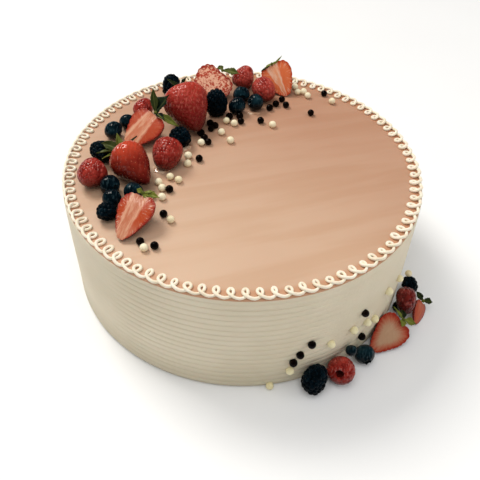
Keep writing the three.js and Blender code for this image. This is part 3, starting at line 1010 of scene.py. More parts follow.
@dataclass(frozen=True)
class DropletFinish(Finish):
    """Drupelets of a raspberry or a bramble, each a little different."""

    deep: str = "6e120e"
    light: str = "a8382d"
    # painted shade in the hollow at the stem end
    hollow: str = "4e1511"
    # colour of the painted glints
    glint_tone: str = "c87a70"
    glint_strength: float = 0.44
    rough: float = 0.15
    gloss: float = 0.28

    def mix(self, recipe: Recipe) -> None:
        """A tone for each drupelet, broken up by patches and by painted glint strokes, with painted shade on
        the lower side and in the hollow at the stem end.

        Args:
            recipe: where its nodes are made.
        """
        place = recipe.place()
        share = recipe.times(recipe.attribute("tone"), 0.7)
        share = recipe.plus(share, recipe.times(recipe.mottle(place, 300.0, 0.4, 0.7), 0.3))
        colour = recipe.blend(share, self.deep, self.light)
        # painted glints on the upper side
        colour = recipe.blend(recipe.wet_glint_strokes(self.glint_strength), colour, self.glint_tone)
        # painted shade on the side on which it rests
        colour = recipe.shaded_below(colour, 0.75)
        # painted shade in the hollow, where the tone is below 0
        colour = recipe.blend(recipe.band(recipe.attribute("tone"), -0.2, -0.8), colour, self.hollow)
        recipe.surface(colour, self.rough, self.gloss, recipe.wet_relief(330.0, 0.3))


@dataclass(frozen=True)
class BloomFinish(Finish):
    """Dark blueberry skin with a faint bloom that has been rubbed off in places."""

    skin: str = "020d13"
    bloom: str = "18363f"
    # colour of the painted glints
    glint_tone: str = "5e7f88"
    rough: float = 0.08
    gloss: float = 0.14

    def mix(self, recipe: Recipe) -> None:
        """Bloom in soft patches, rougher than the bare skin, with painted glint strokes on the upper side and
        painted shade on the lower side.

        Args:
            recipe: where its nodes are made.
        """
        place = recipe.place()
        patches = recipe.mottle(place, 95.0, 0.42, 0.72)
        bloom = recipe.blend(recipe.times(patches, 0.6), self.skin, self.bloom)
        # painted glints on the upper side and painted shade on the side on which it rests
        colour = recipe.shaded_below(recipe.blend(recipe.wet_glint_strokes(0.14), bloom, self.glint_tone), 1.0)
        rough = recipe.plus(self.rough, recipe.times(patches, 0.14))
        recipe.surface(colour, rough, self.gloss, recipe.wet_relief(330.0, 0.5))


@dataclass(frozen=True)
class LeafFinish(Finish):
    """Green sepals, dark or light by leaf, with pale veins."""

    dark: str = "07170f"
    light: str = "757a30"
    fresh: str = "1c3819"
    vein: str = "8d9449"
    rough: float = 0.38
    gloss: float = 0.18

    def mix(self, recipe: Recipe) -> None:
        """Leaf tone by the attribute "shade", with a midrib and pale streaks along each blade.

        Args:
            recipe: where its nodes are made.
        """
        place = recipe.place()
        along, across, _ = recipe.parts(recipe.attribute("blade", vector=True))
        colour = recipe.blend(recipe.attribute("shade"), self.dark, self.light)
        fresh = recipe.times(recipe.mottle(place, 260.0, 0.45, 0.7), 0.4)
        colour = recipe.blend(fresh, colour, self.fresh)
        grain = recipe.vector(recipe.times(along, 2.5), recipe.times(across, 4.5), 0.0)
        streaks = recipe.band(recipe.noise(grain, 1.0, 3.0, 0.6), 0.52, 0.7)
        tips = recipe.times(recipe.band(along, 0.35, 1.0), 0.35)
        paler = recipe.plus(recipe.times(streaks, 0.4), tips)
        # dark sepals show less of their streaks and midrib than light ones
        clear = recipe.plus(0.15, recipe.times(recipe.attribute("shade"), 0.5))
        colour = recipe.blend(recipe.times(paler, clear), colour, self.light)
        midrib = recipe.band(recipe.math("ABSOLUTE", across), 0.14, 0.02)
        colour = recipe.blend(recipe.times(midrib, clear), colour, self.vein)
        recipe.surface(colour, self.rough, self.gloss, recipe.relief(place, 900.0, 0.1))


@dataclass(frozen=True)
class SeedFinish(Finish):
    """Small dry seeds of a strawberry."""

    straw: str = "a44c2c"
    red: str = "8a2a18"
    rough: float = 0.35
    gloss: float = 0.2

    def mix(self, recipe: Recipe) -> None:
        """Reddish straw that varies from seed to seed, with painted shade on the side on which the berry
        rests.

        Args:
            recipe: where its nodes are made.
        """
        # painted shade on the lower side
        colour = recipe.shaded_below(recipe.blend(recipe.attribute("tone"), self.straw, self.red), 0.6)
        normal = recipe.relief(recipe.place(), 2500.0, 0.03)
        recipe.surface(colour, self.rough, self.gloss, normal)


@dataclass(frozen=True)
class PearlFinish(Finish):
    """Crisp pearl in a sugar or chocolate shell."""

    shell: str = "f5ebce"
    shade: str = "e6d6ac"
    rough: float = 0.32
    gloss: float = 0.4

    def mix(self, recipe: Recipe) -> None:
        """A smooth shell, each pearl a little different.

        Args:
            recipe: where its nodes are made.
        """
        place = recipe.place()
        share = recipe.times(recipe.attribute("tone"), 0.6)
        share = recipe.plus(share, recipe.times(recipe.mottle(place, 350.0, 0.4, 0.7), 0.4))
        colour = recipe.blend(share, self.shell, self.shade)
        recipe.surface(colour, self.rough, self.gloss, recipe.relief(place, 900.0, 0.08))


@dataclass(frozen=True)
class TableFinish(Finish):
    """The plain pale table that the cake stands on in the studio."""

    light: str = "f2f3f4"
    dark: str = "eff0f1"

    def mix(self, recipe: Recipe) -> None:
        """Almost white, with the faintest unevenness."""
        colour = recipe.blend(recipe.mottle(recipe.place(), 3.0, 0.3, 0.7), self.light, self.dark)
        recipe.set(Base_Color=colour, Roughness=0.7)


@dataclass(frozen=True)
class JellyFinish(Finish):
    """Clear jelly that pooled on the glaze: it has the glaze's tone and mirrors the window."""

    tone: str = "e2c4a8"
    deep: str = "bb8e70"
    rough: float = 0.05
    gloss: float = 1.0

    def mix(self, recipe: Recipe) -> None:
        """Soft patches of the tone below under a rippled wet surface.

        Args:
            recipe: where its nodes are made.
        """
        place = recipe.place()
        colour = recipe.blend(recipe.mottle(place, 330.0, 0.4, 0.65), self.tone, self.deep)
        rippled = recipe.relief(recipe.drawn_out(place, (0.6, 1.5, 1.0)), 210.0, 1.1, 0.3)
        recipe.surface(colour, self.rough, self.gloss, rippled)


CREAM = CreamFinish("combed_cream")
GLAZE = GlazeFinish("pink_glaze")
PIPED = PipedFinish("piped_icing")
BERRY_SKIN = BerrySkinFinish("berry_skin")
DARK_BERRY_SKIN = BerrySkinFinish(
    "dark_berry_skin",
    ripe="5c0c0a",
    bright="b84029",
    rough=0.05,
    gloss=0.4,
    dents=1.4,
    dent_scale=215.0,
    dents_along=0.3,
    shade_below=0.95,
    glint_strength=0.15,
)
MOTTLED = CutBerryFinish(
    "mottled_flesh", FleshPattern.MOTTLED, rim="8c1c12", flesh="b23a26", heart="c0664a", vein="eeba9b"
)
PALE_HEART = CutBerryFinish(
    "pale_hearted_flesh", FleshPattern.PALE_HEART, rim="8e2010", flesh="a8523a", heart="b08b6e", vein="c2a082"
)
STREAKED = CutBerryFinish(
    "streaked_flesh",
    rim="8c1e0f",
    flesh="a8401e",
    heart="b8785a",
    vein="d8a88a",
    rays=0.15,
    core_width=0.165,
    core_taper=0.1,
    core_end=1.1,
    tip_paleness=0.28,
    thread_glints=0.7,
)
SMOOTH = CutBerryFinish(
    "smooth_flesh",
    rim="8c2212",
    flesh="ac4529",
    heart="c68060",
    vein="deae8e",
    rays=0.1,
    core_width=0.18,
    core_taper=-0.1,
)
ORANGE = CutBerryFinish(
    "orange_flesh",
    rim="ba3c1a",
    flesh="de7244",
    heart="e8a880",
    vein="f4d4b8",
    rays=0.45,
    core_width=0.1,
    core_taper=0.16,
    core_end=0.52,
)
SHADED = CutBerryFinish(
    "shaded_flesh", rim="7a1c0a", flesh="a0380c", heart="a43e0e", vein="b05424", rays=0.15
)
SEEDS = SeedFinish("berry_seeds")
JELLY = JellyFinish("clear_jelly")
RASPBERRY = DropletFinish("raspberry_drupelets")
# painted shade: a darker copy of the raspberry finish for raspberry_7, which lies in the cake's shade
SHADED_RASPBERRY = DropletFinish(
    "shaded_raspberry_drupelets", deep="460b0b", light="7c241e", glint_strength=0.3
)
LIT_RASPBERRY = DropletFinish(
    "lit_raspberry_drupelets", deep="7c1c16", light="b84a3e", glint_strength=0.4
)
BRAMBLE = DropletFinish(
    "bramble_drupelets",
    deep="01060a",
    light="04121a",
    glint_tone="1c3540",
    glint_strength=0.3,
    rough=0.3,
    gloss=0.05,
)
BLUEBERRY = BloomFinish("blueberry_skin")
LEAF = LeafFinish("green_sepals")
WHITE_PEARL = PearlFinish("ivory_pearls")
SIDE_PEARL = PearlFinish("side_pearls", shell="ece3bd", shade="dccf9e")
DARK_PEARL = PearlFinish("dark_pearls", shell="040202", shade="120906", rough=0.28, gloss=0.08)


# Cake, glaze and border


@dataclass(frozen=True)
class Stretch:
    """A stretch of the side: its direction, and the degrees from it at which it starts to fade and ends."""

    middle: float
    full: float
    end: float

    def share(self, angle: Array) -> Array:
        """How much of it shows in each direction, from 0 to 1."""
        away = np.abs((angle - self.middle + 540.0) % 360.0 - 180.0)
        return 1.0 - smooth_step(self.full, self.end, away)


@dataclass
class CreamCake:
    """The cake's body with the comb's ridges round its side."""

    radius: float = 124.0
    height: float = 86.1
    hub: float = 60.0  # radius of the one ring of points inside the base and the top
    foot: tuple[Point2, ...] = ((2.0, 0.0), (1.4, 0.25), (0.7, 1.2))  # inset and height
    lip: tuple[Point2, ...] = ((0.2, 0.7), (0.4, 1.15), (0.9, 1.25), (3.0, 0.0))  # inset and rise
    ridges: int = 17
    lowest: float = 2.4
    highest: float = 84.0
    depth: float = 1.0
    points_in_ridge: int = 12
    sharpness: float = 3.2
    gathering: float = 0.11  # how closely the points of a ridge gather at its two grooves
    steps: int = 320
    pressed: Stretch = Stretch(262.0, 20.0, 44.0)
    smoothed: Stretch = Stretch(340.0, 30.0, 62.0)
    lifted: Stretch = Stretch(207.0, 18.0, 40.0)
    shallow: float = 0.32  # share of the full depth where the comb was not pressed
    pressure: float = 0.36  # what pressing adds to that share
    lost: float = 0.72  # how much of the depth smoothing and lifting take away
    smoothed_height: float = 60.0

    def profile(self) -> list[Point2]:
        """Radius and height of each point of the side, from the middle of the base to that of the top.

        Returns:
            The points.
        """
        pitch = (self.highest - self.lowest) / self.ridges
        points = [(0.0, 0.0), (self.hub, 0.0)]
        points += [(self.radius - inset, height) for inset, height in self.foot]
        for ridge in range(self.ridges):
            for part in range(self.points_in_ridge):
                even = part / self.points_in_ridge
                share = even - self.gathering * math.sin(2.0 * math.pi * even)
                groove = abs(2.0 * share - 1.0) ** self.sharpness
                points.append((self.radius - self.depth * groove, self.lowest + (ridge + share) * pitch))
        points += [(self.radius - self.depth, self.highest), (self.radius - 0.3, self.highest + 1.0)]
        points += [(self.radius - inset, self.height + rise) for inset, rise in self.lip]
        return points + [(self.hub, self.height), (0.0, self.height)]

    def comb_strength(self, angle: Array, height: Array) -> Array:
        """How deep the comb cut: shallow where the cream was smoothed over, and where it was lifted off.

        Args:
            angle: direction in degrees.
            height: height over the base.

        Returns:
            The share of the full depth.
        """
        pressed = self.pressed.share(angle)
        smoothed = self.smoothed.share(angle) * smooth_step(0.0, self.smoothed_height, height)
        missing = self.lost * np.maximum(smoothed, self.lifted.share(angle))
        return (self.shallow + self.pressure * pressed) * (1.0 - missing)

    def combed(self, points: Array) -> Array:
        """The rule that makes the turned side as uneven as a comb held by hand.

        Args:
            points: the vertices, one row each.

        Returns:
            Where they go.
        """
        x, y, z = points.T
        radius = np.hypot(x, y)
        angle = np.degrees(np.arctan2(y, x)) % 360.0
        side = radius > self.radius - 1.6
        inside = side & (z > self.lowest) & (z < self.highest + 0.6)
        shallow = (self.radius - radius) * (1.0 - self.comb_strength(angle, z))
        turn = np.radians(angle)
        wave = 0.16 * np.sin(3.0 * turn + 0.05 * z) + 0.1 * np.sin(7.0 * turn + 1.0 - 0.09 * z)
        sway = 0.35 * np.sin(2.0 * turn + 0.6) + 0.2 * np.sin(5.0 * turn + 0.12 * z)
        radius = np.where(inside, radius + shallow + wave * 0.6, radius)
        fade = np.clip(np.minimum(z, self.height - z) / 8.0, 0.0, 1.0)
        z = np.where(inside, z + sway * fade, z)
        return np.c_[radius * np.cos(turn), radius * np.sin(turn), z]

    def build(self) -> None:
        """Turns, combs and dresses the body."""
        body = Bench.turned("cake_body", self.profile(), self.steps)
        Bench.shape(body, self.combed)
        Bench.hand_over(body, CREAM, "cream", ["cake"])


@dataclass
class PinkGlaze:
    """The thin glaze that lies on the cake's top."""

    radius: float = 123.4
    bottom: float = 86.05
    top: float = 88.4
    steps: int = 256
    hub: float = 70.0  # radius of the one ring of points inside its underside
    edge_out: tuple[float, ...] = (-1.6, -0.5, 0.0, 0.0, -0.15, -0.5, -1.1)  # from the radius outwards
    edge_up: tuple[float, ...] = (0.0, 0.1, 0.6, 1.3, 1.85, 2.2, 2.35)  # from the bottom upwards
    rings: tuple[float, ...] = (0.97, 0.9, 0.75, 0.5, 0.25, 0.0)  # on top, in parts of the radius

    def build(self) -> None:
        """Turns and dresses the glaze."""
        profile = [(0.0, self.bottom), (self.hub, self.bottom)]
        profile += [(self.radius + out, self.bottom + up) for out, up in zip(self.edge_out, self.edge_up)]
        profile += [(self.radius * share, self.top) for share in self.rings]
        glaze = Bench.turned("glaze_layer", profile, self.steps)
        Bench.hand_over(glaze, GLAZE, "glaze", ["glaze"])


@dataclass
class PipedBorder:
    """One line of icing piped in loops along the rim, each loop crossing over its own start."""

    loops: int = 94
    middle_radius: float = 119.5
    swing: float = 3.35
    curl: float = 3.4
    thickness: float = 1.98
    bunching: float = 3.0
    bunching_at: float = 315.0
    fuller: float = 0.13  # how much thicker the line is at the right, where it was piped more slowly
    points_in_loop: int = 16
    under: float = 0.96  # turn at which the line passes under the end of its own loop
    reach_over: float = 0.75  # turn over which it climbs to cross over
    reach_under: float = 0.6  # turn over which it dips to pass under
    variety: float = 0.12  # how much loops differ in curl and in swing
    rise: float = 1.25
    base: float = 88.4

    def at(self, loop: int, turn: float) -> Point2:
        """The line's place, as the solid's is worked out.

        Args:
            loop: number of the loop.
            turn: how far round it, from 0 to 2 pi.

        Returns:
            Its X and Y.
        """
        place = (loop + turn / (2.0 * math.pi)) * 360.0 / self.loops
        bunched = place + self.bunching * math.sin(math.radians(place - self.bunching_at))
        curl = self.curl * (1.0 + self.variety * uneven(loop, 1))
        swing = self.swing * (1.0 + self.variety * uneven(loop, 2) * math.sin(turn / 2.0) ** 2)
        radius = self.middle_radius + self.swing - swing * (1.0 - math.cos(turn))
        angle = math.radians(bunched) + curl * math.sin(turn) / self.middle_radius
        return radius * math.cos(angle), radius * math.sin(angle)

    def line(self) -> tuple[Array, Array]:
        """Points along the line with their height, and its thickness at each.

        Returns:
            The points and widths.
        """
        points, widths = [], []
        for loop in range(self.loops):
            for step in range(self.points_in_loop):
                turn = (step + 0.5) * 2.0 * math.pi / self.points_in_loop
                x, y = self.at(loop, turn)
                over = math.exp(-(((turn - 2.0 * math.pi + self.under) / self.reach_over) ** 2))
                below = math.exp(-(((turn - self.under) / self.reach_under) ** 2))
                z = self.base + 0.42 * self.thickness + self.rise * over - 0.2 * below
                points.append((x, y, z, 1.0))
                index = loop * self.points_in_loop + step
                wobble = noise.noise(Vector((index * 0.13, 4.0, 0.0)))
                blot = 0.16 * max(0.0, uneven(loop, 4)) ** 3 * math.sin(turn / 2.0) ** 2
                slow = self.fuller * math.exp(-((math.degrees(math.atan2(y, x)) / 38.0) ** 2))
                widths.append(1.0 + 0.24 * wobble - 0.08 * below + blot + slow)
        return np.array(points), np.array(widths)

    def build(self) -> None:
        """Pipes the line as a round curve and turns it into a mesh."""
        Bench.clear()
        points, widths = self.line()
        curve = bpy.data.curves.new("piped_line", "CURVE")
        curve.dimensions = "3D"
        curve.twist_mode = "Z_UP"
        curve.bevel_depth = self.thickness / 2.0
        curve.bevel_resolution = 3
        spline = curve.splines.new("POLY")
        spline.points.add(len(points) - 1)
        spline.points.foreach_set("co", points.ravel())
        spline.points.foreach_set("radius", widths)
        spline.use_cyclic_u = True
        line = bpy.data.objects.new("piped_loops", curve)
        bpy.context.collection.objects.link(line)
        Bench.pick(line)
        bpy.ops.object.convert(target="MESH")
        line = bpy.context.object
        Bench.tidy(line)
        Bench.hand_over(line, PIPED, "ivory_icing", ["piped_border"])


# Pearls


@dataclass
class Pearls:
    """Crisp pearls of both kinds on the glaze, on the side and on one bramble."""

    diameter: float = 5.3
    glaze_top: float = 88.4
    side_radius: float = 124.0
    sunk: float = 0.3
    side_sunk: float = 1.4
    # X and Y of each pearl on top
    white_on_top: tuple[Point2, ...] = (
        (-14, 48), (-8, 45), (-17, 33), (-10, 23), (-31, 19), (21, 45), (40, 101), (42, 93), (47, 94),
        (50, 88), (69, 81), (-39, 3), (-38.5, -6), (-49, -21), (-43, -24), (-56, -27), (-53, -33),
        (-52, -42), (-59, -41), (-44, -63), (-57, -88),
    )
    dark_on_top: tuple[Point2, ...] = (
        (29, 81), (24, 74), (32, 73), (19, 68), (12, 50), (-12, 54), (-4, 55), (-3, 48), (-26, 44),
        (-25, 37), (-22, 41), (-32, 31), (-29, 25), (-26, 20), (51, 63), (63.5, 92), (-31, 0), (-48, -34),
        (-49, -58), (-60, -83), (-51, -86),
    )
    # direction in degrees and height of each pearl on the side
    white_on_side: tuple[Point2, ...] = (
        (280.3, 2.7), (286, 16.3), (298.5, 32), (306.7, 34.4), (312.7, 32), (316.8, 28), (321.7, 47),
        (330.5, 42),
    )
    dark_on_side: tuple[Point2, ...] = (
        (310.1, 46.3), (291.7, 39.7), (288.5, 31.6), (286.7, 24.6), (311.5, 19),
    )
    on_bramble: Point3 = (125.9, -32.8, 15.6)

    def on_top(self, spots: Sequence[Point2]) -> list[Point3]:
        """Middles of the pearls on the glaze, by X and Y."""
        return [(x, y, self.glaze_top + self.diameter / 2.0 - self.sunk) for x, y in spots]

    def on_side(self, spots: Sequence[Point2]) -> list[Point3]:
        """Middles of the pearls on the side, by direction in degrees and height.

        Args:
            spots: direction and height of each.

        Returns:
            The middles.
        """
        out = self.side_radius + self.diameter / 2.0 - self.side_sunk
        turns = [(math.radians(direction), z) for direction, z in spots]
        return [(out * math.cos(turn), out * math.sin(turn), z) for turn, z in turns]

    def lay(self, name: str, middles: Sequence[Point3], finish: Finish, slot: str, node: str) -> None:
        """Shapes one pearl, copies it and hands the pearls over as one piece.

        Args:
            name: the piece's name.
            middles: the pearls' middles.
            finish: their finish.
            slot: the name of their material slot.
            node: the solid that they are part of.
        """

        def dented(points: Array) -> Array:
            """The rule that keeps a pearl from being quite round."""
            return points * (1.0 + 0.012 * np.sin(points[:, [0]] * 1.7 + points[:, [2]]))

        pearl = Bench.ball("pearl_blank", self.diameter / 2.0, 24, 14)
        Bench.shape(pearl, dented)
        places = []
        for at, middle in enumerate(middles):
            size = 1.0 + 0.05 * uneven(at, 3.0)
            tall = 1.0 + 0.05 * uneven(at, 4.0)
            turn = Matrix.Rotation(at * 1.3, 4, "Z") @ Matrix.Rotation(at * 0.7, 4, "X")
            places.append(Matrix.Translation(middle) @ turn @ Matrix.Diagonal((size, size, size * tall, 1.0)))
        pearls = Bench.copies(name, pearl, places)
        Bench.hand_over(pearls, finish, slot, [node])

    def build(self) -> None:
        """Lays out all the pearls."""
        self.lay("ivory_pearls_on_top", self.on_top(self.white_on_top), WHITE_PEARL, "white_pearl", "glaze")
        self.lay("dark_pearls_on_top", self.on_top(self.dark_on_top), DARK_PEARL, "dark_pearl", "glaze")
        self.lay("ivory_pearls_on_side", self.on_side(self.white_on_side), SIDE_PEARL, "white_pearl", "cake")
        self.lay("dark_pearls_on_side", self.on_side(self.dark_on_side), DARK_PEARL, "dark_pearl", "cake")
        self.lay("ivory_pearl_on_bramble", [self.on_bramble], WHITE_PEARL, "white_pearl", "bramble_7")


@dataclass(frozen=True)
class Pool:
    """One pool of jelly: its middle, half its length and width, and its heading in degrees."""

    middle: Point2
    half_length: float
    half_width: float
    heading: float


@dataclass
class JellyPools:
    """Small pools of clear jelly beside the fruit on the glaze."""

    glaze_top: float = 88.4
    height: float = 1.2
    pools: tuple[Pool, ...] = (
        Pool((-56.9, -11.3), 5.8, 4.1, -15.0),
        Pool((-42.0, 13.6), 4.8, 2.8, 35.0),
        Pool((6.2, 62.0), 4.8, 1.3, 8.0),
    )

    def build(self) -> None:
        """Shapes a blank drop, copies it into each pool and dresses them as one piece."""
        drop = Bench.ball("drop_blank", 1.0, 28, 12)
        around = Bench.directions(drop)
        Bench.widen(drop, 1.0 + 0.12 * np.sin(3.0 * around + 0.6) + 0.07 * np.sin(5.0 * around))
        places = []
        for pool in self.pools:
            turn = Matrix.Rotation(math.radians(pool.heading), 4, "Z")
            size = Matrix.Diagonal((pool.half_length, pool.half_width, self.height, 1.0))
            places.append(Matrix.Translation((*pool.middle, self.glaze_top)) @ turn @ size)
        pools = Bench.copies("jelly_pools", drop, places)
        Bench.hand_over(pools, JELLY, "glaze", ["glaze"])


# Fruit


@dataclass
class Fruit:
    """A fruit with its stem end towards local -Z and its tip towards +Z."""

    node: str
    at: Point3
    length: float
    width: float
    heading: float
    dip: float
    roll: float = 0.0

    def place(self) -> Matrix:
        """Where the fruit's own frame lies, in millimetres.

        Returns:
            The matrix.
        """
        turn = Quaternion((0.0, 0.0, 1.0), math.radians(self.heading))
        turn = turn @ Quaternion((0.0, 1.0, 0.0), math.radians(90.0 + self.dip))
        turn = turn @ Quaternion((0.0, 0.0, 1.0), math.radians(self.roll))
        return Matrix.Translation(self.at) @ turn.to_matrix().to_4x4()

    def hand_over(self, piece: Piece, finish: Finish, slot: str) -> None:
        """Notes how high each vertex lies in the resting fruit, from 0 to 1, and hands the piece over.

        Args:
            piece: the piece, in the fruit's own frame.
            finish: its finish.
            slot: the name of its material slot.
        """
        heights = Bench.points(piece) @ np.array(self.place().to_3x3())[2]
        # the finishes paint light on the top and shade on the lower side by this height
        Bench.paint(piece, "upward", (heights - heights.min()) / np.ptp(heights))
        Bench.hand_over(piece, finish, slot, [self.node], self.place())

    def stem_point(self, out: float) -> Vector:
        """A point on the axis, beyond the middle of the stem end by out, in the cake's frame."""
        return self.place() @ Vector((0.0, 0.0, -self.length / 2.0 - out))


@dataclass
class Strawberry(Fruit):
    """A whole strawberry: a blunt shoulder, a tapering point, and seeds in small pits."""

    taper: float = 0.45
    seeds: int = 240
    pit_depth: float = 0.65
    pit_radius: float = 0.85
    skin: BerrySkinFinish = BERRY_SKIN
    dimple: float = 1.4
    dimple_reach: float = 0.27  # in parts of the width
    shoulder_power: float = 0.66  # the outline's power towards the stem end: the smaller, the blunter
    tip_power: float = 0.9
    widest: float = 0.27  # turn at which it is widest, in parts of pi
    seed_half_sizes: Point3 = (0.32, 0.24, 0.5)
    seed_sunk: float = 0.3
    rings: int = 84
    steps: int = 128

    def outline(self, turn: float) -> float:
        """Half-width as a share of the width, as turn goes from the stem end at 0 to the tip at pi.

        Args:
            turn: the turn.

        Returns:
            The share.
        """

        def curve(angle: float) -> float:
            """The outline before it is scaled to the width."""
            power = self.shoulder_power if angle < math.pi / 2.0 else self.tip_power
            return math.sin(angle) ** power * (1.0 + self.taper * math.cos(angle))

        return curve(turn) / (2.0 * curve(self.widest * math.pi))

    def profile(self) -> list[Point2]:
        """Radius and height from the stem end to the tip.

        Returns:
            The points.
        """
        points = []
        for ring in range(self.rings + 1):
            turn = math.pi * ring / self.rings
            radius = 0.0 if ring in (0, self.rings) else self.width * self.outline(turn)
            out = radius / (self.dimple_reach * self.width)
            hollow = self.dimple * math.exp(-(out**2)) if turn < 1.0 else 0.0
            points.append((radius, -self.length / 2.0 * math.cos(turn) + hollow))
        return points

    def fleshed(self, points: Array) -> Array:
        """The rule that gives the turned berry its three soft lobes and an uneven flank.

        Args:
            points: the vertices, one row each.

        Returns:
            Where they go.
        """
        x, y, z = points.T
        turn = np.arctan2(y, x)
        lobes = 1.0 + 0.03 * np.cos(3.0 * turn + self.length)
        swell = 1.0 + 0.012 * np.sin(2.0 * turn + z * 0.35) + 0.01 * np.sin(5.0 * turn - z * 0.5)
        return np.c_[x * lobes * swell, y * lobes * swell, z]

    def seed_spots(self) -> list[tuple[Vector, Vector]]:
        """Place and outward direction of each seed, in a spiral that covers the skin evenly.

        Returns:
            The places and directions.
        """
        profile = np.array(self.profile())
        lengths = np.hypot(*np.diff(profile, axis=0).T)
        reach = np.r_[0.0, np.cumsum(lengths * (profile[1:, 0] + profile[:-1, 0]))]
        spots = []
        for seed in range(self.seeds):
            share = (0.05 + 0.94 * (seed + 0.5 + 2.0 * uneven(seed, 7)) / self.seeds) * reach[-1]
            ring = min(int(np.searchsorted(reach, share)), len(profile) - 2)
            radius, z = profile[ring]
            slope = profile[ring + 1] - profile[ring - 1]
            turn = seed * GOLDEN_ANGLE + 0.07 * uneven(seed, 8)
            point = self.fleshed(np.array([[radius * math.cos(turn), radius * math.sin(turn), z]]))[0]
            out = Vector((slope[1] * math.cos(turn), slope[1] * math.sin(turn), -slope[0])).normalized()
            spots.append((Vector(point), out))
        return spots

    def pit(self, berry: Piece, spots: Sequence[tuple[Vector, Vector]]) -> None:
        """Presses a small pit into the skin round each seed.

        Args:
            berry: the berry.
            spots: place and outward direction of each seed.
        """
        tree = kdtree.KDTree(len(spots))
        for index, (point, _) in enumerate(spots):
            tree.insert(point, index)
        tree.balance()
        gaps = np.array([tree.find(Vector(point))[2] for point in Bench.points(berry)])
        from_rim = (gaps - 1.25 * self.pit_radius) / (0.4 * self.pit_radius)
        # marks the rims of the pits, where the skin's finish paints glints
        Bench.paint(berry, "pit_rim", np.exp(-(from_rim**2)))
        Bench.press_along_normals(berry, self.pit_depth * np.exp(-((gaps / self.pit_radius) ** 2)))

    def sow(self, name: str, spots: Sequence[tuple[Vector, Vector]]) -> Piece:
        """Shapes one seed and sets a copy in each pit.

        Args:
            name: the piece's name.
            spots: place and outward direction of each seed.

        Returns:
            The seeds as one piece.
        """

        def pointed(points: Array) -> Array:
            """The rule that sizes the blank and narrows it towards its tip."""
            return points * np.array(self.seed_half_sizes) * (1.0 - 0.25 * points[:, [2]])

        seed = Bench.ball("seed_blank", 1.0, 8, 5)
        Bench.shape(seed, pointed)
        places = []
        for point, out in spots:
            side = out.cross(Vector((0.0, 0.0, 1.0)))
            side = side.normalized() if side.length > 1e-3 else Vector((1.0, 0.0, 0.0))
            tip = side.cross(out).normalized()
            axes = Matrix((side, out, tip)).transposed().to_4x4()
            places.append(Matrix.Translation(point - out * self.seed_sunk) @ axes)
        return Bench.copies(name, seed, places)

    def frame_berry(self, berry: Piece) -> None:
        """Stores each vertex's place in the berry, as shares of its width and length."""
        sizes = np.array([self.width, self.width, self.length])
        Bench.paint(berry, "berry", Bench.points(berry) / sizes)

    def build(self) -> None:
        """Turns, pits, sows and dresses the whole berry."""
        berry = Bench.turned(f"{self.node}_flesh", self.profile(), self.steps)
        Bench.shape(berry, self.fleshed)
        self.frame_berry(berry)
        spots = self.seed_spots()
        self.pit(berry, spots)
        self.hand_over(berry, self.skin, "strawberry_skin")
        self.hand_over(self.sow(f"{self.node}_seeds", spots), SEEDS, "strawberry_skin")


